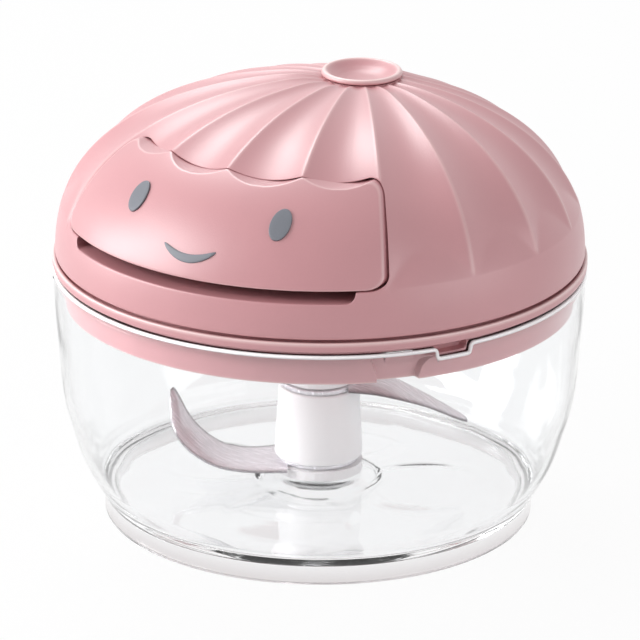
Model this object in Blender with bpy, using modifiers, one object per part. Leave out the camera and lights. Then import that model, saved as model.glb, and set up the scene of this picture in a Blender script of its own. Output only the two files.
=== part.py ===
"""Hand-pull vegetable chopper, modelled at real size in metres.

A clear bowl carries a steel pin, and a column with two blades turns on that pin.
A fluted dome lid turns and lifts on the bowl. Inside it, a cord pulled by the
front handle turns a reel, and two pawls on the reel turn the drive shaft.
Z is up, the foot of the bowl stands on z = 0, and the handle faces -Y.
"""
import math

import bmesh
import bpy
from mathutils import Matrix, Vector

# Driving sizes
BOWL_RADIUS = 0.0664
BOWL_HEIGHT = 0.0668
BOWL_WALL = 0.0018
DOME_POWER = 2.3
PULL_TRAVEL = 0.32
WINDING_RADIUS = 0.018
CORD_RADIUS = 0.0009
BLADE_REACH = 0.0385
BLADE_THICKNESS = 0.001

# Clearances shared by all pieces
SEAT_GAP = 0.0003
RUNNING_GAP = 0.0006
CUT_OVERRUN = 0.004
MERGE_DISTANCE = 0.000001
ROUND_STEPS = 48
MEDIUM_STEPS = 28
SMALL_STEPS = 16
TINY_STEPS = 10
ENVELOPE_RINGS = 12
CAVITY_RINGS = 6
SMOOTH_ANGLE = math.radians(32)

# Bowl
BOWL_OUTER_SHARES = (
    (1.0, 0.968), (0.998, 0.86), (0.991, 0.70), (0.985, 0.49), (0.960, 0.37), (0.918, 0.23),
    (0.845, 0.085),
)
RIM_LIP_REACH = 0.0011
RIM_LIP_HEIGHT = 0.0016
FOOT_SETBACK = 0.0007
FOOT_WIDTH = 0.0024
FLOOR_HEIGHT = 0.0075
FLOOR_THICKNESS = 0.0023
FLOOR_CORNER = 0.0032
BOSS_RADIUS = 0.0156
BOSS_RISE = 0.002
PIN_HOLE_DEPTH = 0.0032
NOTCH_WIDTH = 0.0096
NOTCH_DEPTH = 0.0025
NOTCH_ANGLE = math.radians(-30.3)
LOCK_COUNT = 3
LUG_WIDTH = 0.008
LUG_REACH = 0.0015
LUG_HEIGHT = 0.0022
LUG_DROP = 0.0005
LUG_ANGLE = math.radians(-42.3)

# Bowl pin
PIN_RADIUS = 0.0025
PIN_HEADROOM = 0.006
PIN_CHAMFER = 0.0006

# Lid base
FLANGE_OVERHANG = 0.0019
FLANGE_THICKNESS = 0.0024
FLANGE_EDGE = 0.0006
SKIRT_DEPTH = 0.0094
SKIRT_WALL = 0.0035
CHANNEL_DEPTH = 0.002
CHANNEL_DROP = 0.0035
LOCK_TURN = math.radians(12)
CHANNEL_SIDE_GAP = 0.0012
STEP_INSET = 0.0014
STEP_RISE = 0.0004
COLLAR_GAP = 0.0004
COLLAR_WALL = 0.0019
COLLAR_RISE = 0.0033
HUB_RADIUS = 0.011
HUB_DROP = 0.0058
HUB_RISE = 0.0033
SEAL_WIDTH = 0.0018
SEAL_THICKNESS = 0.001
SEAL_RIM_INSET = 0.0007
SEAM_GROOVE = 0.0007

# Dome shell
DOME_SETBACK = 0.0003
HEAD_ROOM = 0.0029
DOME_WALL = 0.0024
DOME_TOP_WALL = 0.0044
BAND_HEIGHT = 0.0119
FLUTE_COUNT = 21
FLUTE_SAMPLES = 4
FLUTE_SHARE = 0.11
FLUTE_DEPTH = 0.002
FLUTE_RUN_IN = 0.0082
CROWN_OFFSET = 0.0204
CROWN_RADIUS = 0.0104
CROWN_SINK = 0.0003
CROWN_FLARE = 0.011
CROWN_LIP = 0.0013
CROWN_DISH_SHARES = (
    (0.0, 1.0), (0.4, 0.93), (0.7, 0.5), (0.866, 0.058), (0.907, 0.0), (0.969, 0.046), (1.0, 0.23),
)
CROWN_PLUG_RADIUS = 0.0089
CROWN_PLUG_DEPTH = 0.0052
CROWN_DISH = 0.0028
BAND_RING_SHARES = (0.0, 0.5, 1.0)
FLUTE_RING_SHARES = (0.12, 0.24, 0.36, 0.58, 0.79, 1.0)
CROWN_RING_SHARES = (0.74, 0.5, 0.28, 0.12, 0.0)

# Handle panel
PANEL_ANGLE = math.radians(33.9)
PANEL_TOP_RISE = 0.034
PANEL_THICKNESS = 0.0026
PANEL_CORNER = 0.003
PANEL_GAP = 0.0007
PANEL_SIDE_STEPS = 5
CORNER_STEPS = 4
PANEL_TOP_STEPS = 25
SLOT_HEIGHT = 0.003
SLOT_INSET = 0.0055
POCKET_CLEARANCE = 0.0065
POCKET_WALL = 0.0016
POCKET_END = 0.014

# Face inlays on the panel
EYE_WIDTH = 0.0052
EYE_HEIGHT = 0.009
EYE_RISE = 0.0257
EYE_ANGLE = math.radians(20.8)
EYE_TILT = math.radians(13)
MOUTH_WIDTH = 0.0149
MOUTH_THICKNESS = 0.0022
MOUTH_SAG = 0.0027
MOUTH_RISE = 0.0177
INLAY_PROUD = 0.0003
INLAY_DEPTH = 0.0012

# Cord anchor behind the panel
ANCHOR_RADIUS = 0.005
ANCHOR_DEPTH = 0.0135
ANCHOR_BORE = 0.0031
ANCHOR_BORE_DEPTH = 0.007
KNOT_RADIUS = 0.0024
STOP_THICKNESS = 0.0014
STOP_HOLE = 0.0013

# Eyelet in the pocket's back wall
EYELET_RISE = 0.0196
EYELET_BORE = 0.0014
EYELET_RADIUS = 0.0026
EYELET_FLANGE = 0.0038
EYELET_FLANGE_THICKNESS = 0.0009
CORD_BEND_SIZE = 0.003

# Drive shaft, its bush, seal and clip
SHAFT_RADIUS = 0.0042
BUSH_WALL = 0.0025
BUSH_FLANGE = 0.0095
BUSH_FLANGE_THICKNESS = 0.001
SHAFT_SEAL_HEIGHT = 0.0022
CLIP_RADIUS = 0.0065
CLIP_THICKNESS = 0.001
CLIP_GROOVE_DEPTH = 0.0013
CLIP_OPENING = math.radians(70)
DOG_LENGTH = 0.0075
DOG_REACH = 0.0062
DOG_WIDTH = 0.0024
DOG_CORE = 0.0034
ENGAGEMENT = 0.0135

# Ratchet wheel and pawls
RATCHET_RADIUS = 0.0135
RATCHET_TOOTH = 0.0022
RATCHET_TEETH = 12
RATCHET_THICKNESS = 0.004
FLANK_SHARE = 0.04
PAWL_PIVOT_RADIUS = 0.022
PAWL_PIN_RADIUS = 0.0016
PAWL_EYE = 0.0034
PAWL_TIP_RADIUS = 0.0124
PAWL_TIP_WIDTH = 0.0015
PAWL_TIP_ANGLE = math.radians(25)
PAWL_FLANK_ANGLE = math.radians(4.5)
PAWL_THICKNESS = 0.0032

# Reel
REEL_SIDE_GAP = 0.0044
REEL_FLANGE = 0.0016
REEL_GROOVE = 0.0118
REEL_LIFT = 0.0015
ARBOR_RADIUS = 0.006
ARBOR_RISE = 0.0064
WINDING_PITCH = 0.0023
LOOP_POINTS = 24

# Axle, spring and reel cover
AXLE_RADIUS = 0.0031
AXLE_HEAD = 0.0052
AXLE_HEAD_HEIGHT = 0.0016
AXLE_SOCKET_DEPTH = 0.0022
SPRING_TURNS = 5
SPRING_TURN_POINTS = 18
SPRING_THICKNESS = 0.0005
SPRING_HEIGHT = 0.0055
SPRING_GAP = 0.0012
COVER_OVERHANG = 0.002
COVER_BRIM = 0.0054
COVER_WALL = 0.0016
POST_RADIUS = 0.0036
POST_CLEARANCE = 0.0029
POST_ANGLES = tuple(math.radians(angle) for angle in (0, 60, 120, 180))
EAR_RADIUS = 0.005

# Screws
SCREW_RADIUS = 0.0013
SCREW_HEAD = 0.0027
SCREW_HEAD_HEIGHT = 0.0016
SCREW_LENGTH = 0.009
SCREW_HOLE = 0.0016
DOME_POST_RADIUS = 0.0036
DOME_POST_INSET = 0.012
DOME_POST_ANGLES = tuple(math.radians(angle) for angle in (-120, -60, 35, 145))
DOME_POST_HEIGHT = 0.03

# Blade column
COLUMN_RADIUS = 0.0114
COLUMN_TOP_RADIUS = 0.0104
COLUMN_LIFT = 0.0047
SOCKET_CLEARANCE = 0.0078
STEM_RADIUS = 0.007
TOP_STEM_RADIUS = 0.005
TOP_STEM_HEIGHT = 0.004
PIVOT_BUSH_WALL = 0.0022
FOOT_BORE = 0.004
SOCKET_RADIUS = 0.0095
SOCKET_BORE = 0.0067
SOCKET_FLOOR = 0.0046

# Blades: along the blade, sideways, width and rise, as shares of the reach
LOWER_BLADE_SHARES = (
    (0.20, 0.00, 0.50, 0.0), (0.36, 0.02, 0.44, 0.0), (0.52, 0.01, 0.38, 0.0),
    (0.66, -0.03, 0.32, 0.02), (0.78, -0.08, 0.27, 0.07), (0.88, -0.12, 0.22, 0.18),
    (0.94, -0.15, 0.17, 0.30), (0.98, -0.17, 0.08, 0.42),
)
UPPER_BLADE_SHARES = (
    (0.20, 0.00, 0.48, 0.0), (0.36, -0.01, 0.42, 0.0), (0.50, 0.00, 0.38, 0.0),
    (0.64, 0.03, 0.34, -0.03), (0.76, 0.06, 0.29, -0.08), (0.87, 0.10, 0.22, -0.16),
    (0.95, 0.13, 0.15, -0.23), (1.0, 0.15, 0.06, -0.28),
)
LOWER_BLADE_ANGLE = math.radians(209.5)
UPPER_BLADE_ANGLE = math.radians(29.5)
BLADE_HUB = 0.0102

# Radii and heights of the bowl and the lid's plate, which follow from the sizes above
RIM_Z = BOWL_HEIGHT
FLANGE_Z = RIM_Z + SEAT_GAP
PLATE_Z = FLANGE_Z + FLANGE_THICKNESS
SEAM_Z = PLATE_Z + SEAM_GROOVE
BOWL_INNER_RADIUS = BOWL_RADIUS - BOWL_WALL
FOOT_RADIUS = BOWL_RADIUS * BOWL_OUTER_SHARES[-1][0] - FOOT_SETBACK
FLANGE_RADIUS = BOWL_RADIUS + FLANGE_OVERHANG
SKIRT_RADIUS = BOWL_INNER_RADIUS - RUNNING_GAP
BOSS_Z = FLOOR_HEIGHT + BOSS_RISE
PIN_Z = BOSS_Z - PIN_HOLE_DEPTH + SEAT_GAP

# Heights of the mechanism, from the plate up to the head of the axle
HUB_TOP_Z = PLATE_Z + HUB_RISE
HUB_BOTTOM_Z = FLANGE_Z - HUB_DROP
BUSH_BORE = SHAFT_RADIUS + SEAT_GAP
BUSH_RADIUS = BUSH_BORE + BUSH_WALL
HUB_BORE = BUSH_RADIUS + SEAT_GAP
BUSH_TOP_Z = HUB_TOP_Z + SEAT_GAP + BUSH_FLANGE_THICKNESS
RATCHET_Z = BUSH_TOP_Z + SEAT_GAP
RATCHET_TOP_Z = RATCHET_Z + RATCHET_THICKNESS
REEL_Z = RATCHET_TOP_Z + REEL_LIFT
GROOVE_Z = REEL_Z + REEL_FLANGE
REEL_TOP_Z = GROOVE_Z + REEL_GROOVE + REEL_FLANGE
CORE_RADIUS = WINDING_RADIUS - CORD_RADIUS - SEAT_GAP
WINDING_LOOPS = math.ceil(PULL_TRAVEL / (math.tau * WINDING_RADIUS))
POST_TOP_Z = REEL_TOP_Z + RUNNING_GAP
COVER_Z = POST_TOP_Z + SEAT_GAP
SCREW_TOP_Z = COVER_Z + COVER_WALL + SEAT_GAP + SCREW_HEAD_HEIGHT
SPRING_Z = REEL_TOP_Z + RUNNING_GAP
COVER_TOP_Z = SPRING_Z + SPRING_HEIGHT + SEAT_GAP + COVER_WALL + RUNNING_GAP
AXLE_BORE = AXLE_RADIUS + SEAT_GAP
AXLE_Z = RATCHET_TOP_Z - AXLE_SOCKET_DEPTH + SEAT_GAP
AXLE_TOP_Z = COVER_TOP_Z + SEAT_GAP + AXLE_HEAD_HEIGHT
CLIP_TOP_Z = HUB_BOTTOM_Z - SEAT_GAP

# Heights of the blade assembly, from the boss up and from the hub down
COLUMN_Z = BOSS_Z + COLUMN_LIFT
FOOT_Z = BOSS_Z + SEAT_GAP
LOWER_BLADE_Z = COLUMN_Z - SEAT_GAP - BLADE_THICKNESS
SOCKET_TOP_Z = HUB_BOTTOM_Z - SOCKET_CLEARANCE
DOG_Z = SOCKET_TOP_Z - ENGAGEMENT
SOCKET_Z = DOG_Z - RUNNING_GAP - SOCKET_FLOOR
UPPER_BLADE_Z = SOCKET_Z - SEAT_GAP - BLADE_THICKNESS
COLUMN_TOP_Z = UPPER_BLADE_Z - SEAT_GAP
PIN_TOP_Z = COLUMN_TOP_Z - PIN_HEADROOM
PIVOT_BORE = PIN_RADIUS + SEAT_GAP
PIVOT_BUSH_RADIUS = PIVOT_BORE + PIVOT_BUSH_WALL
COLUMN_BORE = PIVOT_BUSH_RADIUS + SEAT_GAP

# Dome over the mechanism, with the crown and the panel
DOME_RADIUS = FLANGE_RADIUS - DOME_SETBACK
DOME_RISE = AXLE_TOP_Z - SEAM_Z + HEAD_ROOM + DOME_TOP_WALL
COLLAR_RADIUS = DOME_RADIUS - DOME_WALL - COLLAR_GAP
DOME_POST_CIRCLE = DOME_RADIUS - DOME_POST_INSET
CROWN_Z = SEAM_Z + DOME_RISE - CROWN_SINK
CROWN_SEAT_Z = CROWN_Z - CROWN_LIP - SEAT_GAP
CROWN_SEAT_RADIUS = CROWN_RADIUS - SEAT_GAP
PANEL_Z = SEAM_Z + BAND_HEIGHT
EYELET_Z = SEAM_Z + EYELET_RISE


def dome_radius(rise, inset=0.0, top_inset=None):
    """Radius of the dome's smooth surface at a rise above the seam.

    The section is the superellipse (r / R)^p + (h / H)^p = 1.
    """
    height = DOME_RISE - (inset if top_inset is None else top_inset)
    share = min(max(rise / height, 0), 1)
    return (DOME_RADIUS - inset) * (1 - share ** DOME_POWER) ** (1 / DOME_POWER)


# Radii of the mechanism, which fits inside the dome's wall at the height of its screws
POST_CIRCLE = dome_radius(SCREW_TOP_Z - SEAM_Z, DOME_WALL, DOME_TOP_WALL) - EAR_RADIUS - POST_CLEARANCE
REEL_RADIUS = POST_CIRCLE - POST_RADIUS - REEL_SIDE_GAP
COVER_RADIUS = REEL_RADIUS + COVER_OVERHANG
COVER_CUP_RADIUS = COVER_RADIUS - COVER_BRIM
SPRING_OUTER = COVER_CUP_RADIUS - COVER_WALL - SPRING_GAP
POCKET_RADIUS = REEL_RADIUS + POCKET_CLEARANCE
CORD_BEND_Y = POCKET_RADIUS - POCKET_WALL - CORD_BEND_SIZE
PANEL_TOP_RADIUS = dome_radius(PANEL_TOP_RISE)
ANCHOR_Y = ANCHOR_DEPTH - dome_radius(EYELET_RISE)
KNOT_Y = ANCHOR_Y - 2 * SEAT_GAP - STOP_THICKNESS - KNOT_RADIUS


def linear(value):
    """Change one sRGB value from 0-255 into linear light."""
    share = value / 255
    return share / 12.92 if share <= 0.04045 else ((share + 0.055) / 1.055) ** 2.4


def material(name, colour, roughness, metallic=0.0, transmission=0.0):
    """Make a Principled material from an sRGB colour."""
    made = bpy.data.materials.new(name)
    made.use_nodes = True
    shader = made.node_tree.nodes["Principled BSDF"]
    rgba = [linear(value) for value in colour] + [1.0]
    shader.inputs["Base Color"].default_value = rgba
    shader.inputs["Roughness"].default_value = roughness
    shader.inputs["Metallic"].default_value = metallic
    shader.inputs["Transmission Weight"].default_value = transmission
    made.diffuse_color = rgba
    return made


def place(name, mesh, finish, location=(0, 0, 0)):
    """Link a mesh as a part, or as a hidden cutter when it has no finish."""
    thing = bpy.data.objects.new(name, mesh)
    thing.location = location
    if finish is None:
        cutters.objects.link(thing)
        thing.hide_render = True
        thing.display_type = "WIRE"
    else:
        parts.objects.link(thing)
        mesh.materials.clear()
        mesh.materials.append(finish)
    return thing


def evaluated_mesh(thing):
    """Return a new mesh with every modifier of the object applied."""
    bpy.context.view_layer.update()
    graph = bpy.context.evaluated_depsgraph_get()
    return bpy.data.meshes.new_from_object(thing.evaluated_get(graph))


def tidy_mesh(mesh):
    """Merge doubled points and turn every face outwards."""
    shape = bmesh.new()
    shape.from_mesh(mesh)
    bmesh.ops.remove_doubles(shape, verts=shape.verts, dist=MERGE_DISTANCE)
    bmesh.ops.recalc_face_normals(shape, faces=shape.faces)
    shape.to_mesh(mesh)
    shape.free()


def settle(thing):
    """Apply the modifiers and smooth the round faces."""
    mesh = evaluated_mesh(thing)
    thing.modifiers.clear()
    thing.data = mesh
    mesh.shade_smooth()
    mesh.set_sharp_from_angle(angle=SMOOTH_ANGLE)
    return thing


def turned(name, profile, finish=None, steps=ROUND_STEPS, closed=False):
    """Turn an (r, z) profile, listed down its outer side, about the Z axis."""
    mesh = bpy.data.meshes.new(name)
    last = len(profile) - 1
    edges = [(index, index + 1) for index in range(last)]
    if closed:
        edges.append((last, 0))
    mesh.from_pydata([(radius, 0, height) for radius, height in profile], edges, [])
    thing = place(name, mesh, finish)
    screw = thing.modifiers.new("turn", "SCREW")
    screw.steps = steps
    screw.render_steps = steps
    screw.use_merge_vertices = True
    screw.merge_threshold = MERGE_DISTANCE
    return settle(thing)


def from_shape(name, shape, finish, location=(0, 0, 0)):
    """Turn a bmesh into a named object."""
    mesh = bpy.data.meshes.new(name)
    shape.to_mesh(mesh)
    shape.free()
    mesh.shade_smooth()
    mesh.set_sharp_from_angle(angle=SMOOTH_ANGLE)
    return place(name, mesh, finish, location)


def rod(name, radius, low, high, finish=None, x=0.0, y=0.0, steps=SMALL_STEPS):
    """Make an upright cylinder between two heights."""
    shape = bmesh.new()
    middle = Matrix.Translation((0, 0, (low + high) / 2))
    bmesh.ops.create_cone(
        shape, cap_ends=True, segments=steps, radius1=radius, radius2=radius,
        depth=high - low, matrix=middle)
    return from_shape(name, shape, finish, (x, y, 0))


def rod_along_y(name, radius, near, far, finish=None, x=0.0, z=0.0, steps=SMALL_STEPS):
    """Make a cylinder that lies along Y."""
    shape = bmesh.new()
    lie = Matrix.Translation((0, (near + far) / 2, 0)) @ Matrix.Rotation(math.pi / 2, 4, "X")
    bmesh.ops.create_cone(
        shape, cap_ends=True, segments=steps, radius1=radius, radius2=radius,
        depth=abs(far - near), matrix=lie)
    return from_shape(name, shape, finish, (x, 0, z))


def block(name, x_range, y_range, z_range, finish=None, turn=0.0):
    """Make a box from its ranges, turned about the Z axis."""
    ranges = (x_range, y_range, z_range)
    size = Vector([high - low for low, high in ranges])
    middle = Vector([(low + high) / 2 for low, high in ranges])
    grow = Matrix.Diagonal(size).to_4x4()
    shape = bmesh.new()
    bmesh.ops.create_cube(shape, size=1, matrix=Matrix.Translation(middle) @ grow)
    bmesh.ops.rotate(shape, verts=shape.verts, cent=(0, 0, 0), matrix=Matrix.Rotation(turn, 3, "Z"))
    return from_shape(name, shape, finish)


def plate(name, outline, low, high, finish=None, frame=None):
    """Extrude a flat outline between two levels, in a frame of its own if one is given."""
    curve = bpy.data.curves.new(name, "CURVE")
    curve.dimensions = "2D"
    curve.fill_mode = "BOTH"
    curve.extrude = (high - low) / 2
    spline = curve.splines.new("POLY")
    spline.points.add(len(outline) - 1)
    for point, (x, y) in zip(spline.points, outline):
        point.co = (x, y, 0, 1)
    spline.use_cyclic_u = True
    drawn = bpy.data.objects.new(name + "_outline", curve)
    cutters.objects.link(drawn)
    mesh = evaluated_mesh(drawn)
    bpy.data.objects.remove(drawn, do_unlink=True)
    mesh.transform(Matrix.Translation((0, 0, (low + high) / 2)))
    mesh.transform(frame if frame else Matrix.Identity(4))
    tidy_mesh(mesh)
    mesh.shade_smooth()
    mesh.set_sharp_from_angle(angle=SMOOTH_ANGLE)
    return place(name, mesh, finish)


def tube(name, points, radius, finish, bevel_resolution=1):
    """Make a round cord along the given points, with closed ends."""
    curve = bpy.data.curves.new(name, "CURVE")
    curve.dimensions = "3D"
    curve.bevel_depth = radius
    curve.bevel_resolution = bevel_resolution
    curve.use_fill_caps = True
    spline = curve.splines.new("POLY")
    spline.points.add(len(points) - 1)
    for point, place_on_route in zip(spline.points, points):
        point.co = (*place_on_route, 1)
    drawn = bpy.data.objects.new(name + "_route", curve)
    cutters.objects.link(drawn)
    mesh = evaluated_mesh(drawn)
    bpy.data.objects.remove(drawn, do_unlink=True)
    tidy_mesh(mesh)
    mesh.shade_smooth()
    return place(name, mesh, finish)


def combine(thing, other, operation="DIFFERENCE"):
    """Cut, join or intersect a piece with another object."""
    modifier = thing.modifiers.new(other.name, "BOOLEAN")
    modifier.operation = operation
    modifier.object = other
    modifier.solver = "EXACT"
    return thing


def polar(radius, angle):
    """Return the plan point at a radius and an angle."""
    return Vector((radius * math.cos(angle), radius * math.sin(angle)))


def arc(radius, start, end, steps, centre=(0, 0)):
    """Return points along an arc."""
    angles = [start + (end - start) * step / steps for step in range(steps + 1)]
    return [Vector(centre) + polar(radius, angle) for angle in angles]


def dome_rise(radius):
    """Rise of the smooth surface above the seam at a radius, the inverse of dome_radius."""
    share = min(radius / DOME_RADIUS, 1)
    return DOME_RISE * (1 - share ** DOME_POWER) ** (1 / DOME_POWER)


def dome_normal(point):
    """Outward unit normal of the smooth surface at a point given relative to the seam's centre."""
    radius = math.hypot(point.x, point.y)
    outward = (radius / DOME_RADIUS) ** (DOME_POWER - 1) / DOME_RADIUS
    upward = (max(point.z, 0) / DOME_RISE) ** (DOME_POWER - 1) / DOME_RISE
    flat = Vector((point.x, point.y, 0)).normalized() * outward
    return (flat + Vector((0, 0, upward))).normalized()


def dome_frame(angle, rise, tilt=0.0):
    """Frame on the dome's surface: X level, Y up the slope, Z outwards.

    The angle is measured from the front, anticlockwise from above.
    """
    radius = dome_radius(rise)
    foot = polar(radius, angle - math.pi / 2)
    point = Vector((foot.x, foot.y, rise))
    out = dome_normal(point)
    level = Vector((0, 0, 1)).cross(out).normalized()
    up = out.cross(level)
    axes = Matrix((level, up, out)).transposed().to_4x4()
    place_on_dome = Matrix.Translation(point + Vector((0, 0, SEAM_Z)))
    return place_on_dome @ axes @ Matrix.Rotation(tilt, 4, "Z")


def envelope(name, inset, finish=None, top_inset=None, rings=ENVELOPE_RINGS):
    """Turn the dome's smooth surface, moved inwards, as a closed solid."""
    top = DOME_RISE - (inset if top_inset is None else top_inset)
    shares = [math.sin(math.pi / 2 * step / rings) for step in range(rings, -1, -1)]
    profile = [(dome_radius(top * share, inset, top_inset), SEAM_Z + top * share) for share in shares]
    profile[0] = (0, profile[0][1])
    profile.append((profile[-1][0], SEAM_Z - CUT_OVERRUN))
    profile.append((0, SEAM_Z - CUT_OVERRUN))
    return turned(name, profile, finish)


def ray_reach(angle, radius):
    """Distance from the crown's centre to a circle about the main axis, along a plan angle."""
    along = CROWN_OFFSET * math.sin(angle)
    return -along + math.sqrt(along ** 2 - CROWN_OFFSET ** 2 + radius ** 2)


def flute_depth(angle, reach):
    """Depth of a scooped flute: nothing on its two ridges, and most half way between."""
    pitch = math.tau / FLUTE_COUNT
    share = ((angle + math.pi / 2) / pitch) % 1
    return min(FLUTE_SHARE * reach * pitch, FLUTE_DEPTH) * 4 * share * (1 - share)


def fluted_point(angle, reach):
    """Point of the fluted surface at a plan angle and distance from the crown's centre."""
    flat = Vector((0, CROWN_OFFSET)) + polar(reach, angle)
    rise = dome_rise(flat.length)
    point = Vector((flat.x, flat.y, rise))
    run_in = FLUTE_DEPTH * max(rise - BAND_HEIGHT, 0) / FLUTE_RUN_IN
    sunk = point - dome_normal(point) * min(flute_depth(angle, reach), run_in)
    edge = Vector((0, CROWN_OFFSET)) + polar(CROWN_SEAT_RADIUS, angle)
    lift = CROWN_SEAT_Z - SEAM_Z - dome_rise(edge.length)
    fade = max(1 - (reach - CROWN_SEAT_RADIUS) / CROWN_FLARE, 0) ** 2
    return sunk + Vector((0, 0, SEAM_Z + lift * fade))


def fluted_solid(name, finish):
    """Loft the dome's outer surface from the seam up to the crown, as a closed solid."""
    count = FLUTE_COUNT * FLUTE_SAMPLES
    angles = [math.tau * index / count - math.pi / 2 for index in range(count)]
    flute_rise = PANEL_TOP_RISE + PANEL_GAP - BAND_HEIGHT
    rises = [share * BAND_HEIGHT for share in BAND_RING_SHARES]
    rises += [BAND_HEIGHT + share * flute_rise for share in FLUTE_RING_SHARES]
    top_radius = dome_radius(rises[-1])
    shape = bmesh.new()
    rings = []
    for rise in rises:
        points = [fluted_point(angle, ray_reach(angle, dome_radius(rise))) for angle in angles]
        rings.append([shape.verts.new(point) for point in points])
    for share in CROWN_RING_SHARES:
        ring = []
        for angle in angles:
            reach = CROWN_SEAT_RADIUS + share * (ray_reach(angle, top_radius) - CROWN_SEAT_RADIUS)
            point = fluted_point(angle, reach)
            if share == 0:
                point.z = CROWN_SEAT_Z
            ring.append(shape.verts.new(point))
        rings.append(ring)
    for lower, upper in zip(rings, rings[1:]):
        for index in range(count):
            after = (index + 1) % count
            shape.faces.new((lower[index], lower[after], upper[after], upper[index]))
    shape.faces.new(list(reversed(rings[0])))
    shape.faces.new(rings[-1])
    bmesh.ops.recalc_face_normals(shape, faces=shape.faces)
    return from_shape(name, shape, finish)


def offset_profile(profile, distance):
    """Move an (r, z) profile sideways, towards the axis for a profile that runs downwards."""
    points = [Vector(point) for point in profile]
    moved = []
    for index, point in enumerate(points):
        before = points[max(index - 1, 0)]
        after = points[min(index + 1, len(points) - 1)]
        along = (after - before).normalized()
        moved.append(point + Vector((along.y, -along.x)) * distance)
    return moved


def lock_angles(first):
    """Angles of the bayonet's equal places around the bowl."""
    return [first + math.tau * index / LOCK_COUNT for index in range(LOCK_COUNT)]


def make_bowl():
    """Turn the bowl, add its three lugs and cut its three rim notches and the pin hole."""
    outer = [(BOWL_RADIUS * wide, BOWL_HEIGHT * high) for wide, high in BOWL_OUTER_SHARES]
    inner = [point for point in offset_profile(outer, BOWL_WALL) if point.y > FLOOR_HEIGHT + FLOOR_CORNER]
    corner = inner[-1].x - FLOOR_CORNER
    rim_radius = BOWL_RADIUS + RIM_LIP_REACH
    under = FLOOR_HEIGHT - FLOOR_THICKNESS
    profile = [(0, BOSS_Z), (BOSS_RADIUS - BOSS_RISE / 2, BOSS_Z), (BOSS_RADIUS, FLOOR_HEIGHT)]
    profile += [(corner, FLOOR_HEIGHT), (inner[-1].x - FLOOR_CORNER / 3, FLOOR_HEIGHT + FLOOR_CORNER / 3)]
    profile += [tuple(point) for point in reversed(inner[1:])]
    profile += [(BOWL_INNER_RADIUS, RIM_Z - RIM_LIP_HEIGHT), (BOWL_INNER_RADIUS, RIM_Z)]
    profile += [(rim_radius, RIM_Z), (rim_radius, RIM_Z - RIM_LIP_HEIGHT)]
    profile += outer
    profile += [(FOOT_RADIUS, under), (FOOT_RADIUS, 0)]
    profile += [(FOOT_RADIUS - FOOT_WIDTH, 0), (FOOT_RADIUS - FOOT_WIDTH, under), (0, under)]
    bowl = turned("bowl", profile, clear_plastic)
    lug_top = RIM_Z - LUG_DROP
    for index, angle in enumerate(lock_angles(LUG_ANGLE)):
        reach = (BOWL_INNER_RADIUS - LUG_REACH, BOWL_INNER_RADIUS + BOWL_WALL / 2)
        sides = (-LUG_WIDTH / 2, LUG_WIDTH / 2)
        lug = block(f"lug_{index + 1}", reach, sides, (lug_top - LUG_HEIGHT, lug_top), turn=angle)
        combine(bowl, lug, "UNION")
    for index, angle in enumerate(lock_angles(NOTCH_ANGLE)):
        reach = (BOWL_INNER_RADIUS - CUT_OVERRUN, rim_radius + CUT_OVERRUN)
        sides = (-NOTCH_WIDTH / 2, NOTCH_WIDTH / 2)
        heights = (RIM_Z - NOTCH_DEPTH, RIM_Z + CUT_OVERRUN)
        notch = block(f"notch_{index + 1}", reach, sides, heights, turn=angle)
        combine(bowl, notch)
    hole = rod("pin_hole", PIN_RADIUS + SEAT_GAP, BOSS_Z - PIN_HOLE_DEPTH, BOSS_Z + CUT_OVERRUN)
    combine(bowl, hole)


def make_bowl_pin():
    """Turn the steel pin that the blade column spins on."""
    chamfer = (PIN_RADIUS - PIN_CHAMFER, PIN_TOP_Z)
    shoulder = (PIN_RADIUS, PIN_TOP_Z - PIN_CHAMFER)
    profile = [(0, PIN_TOP_Z), chamfer, shoulder, (PIN_RADIUS, PIN_Z), (0, PIN_Z)]
    turned("bowl_pin", profile, steel, SMALL_STEPS)


def make_lid_seal():
    """Turn the silicone ring between the bowl's rim and the lid's flange."""
    inner = BOWL_INNER_RADIUS + SEAL_RIM_INSET
    outer = inner + SEAL_WIDTH
    top = FLANGE_Z + SEAL_THICKNESS
    profile = [(outer, top), (outer, FLANGE_Z), (inner, FLANGE_Z), (inner, top)]
    turned("lid_seal", profile, silicone, closed=True)


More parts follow.
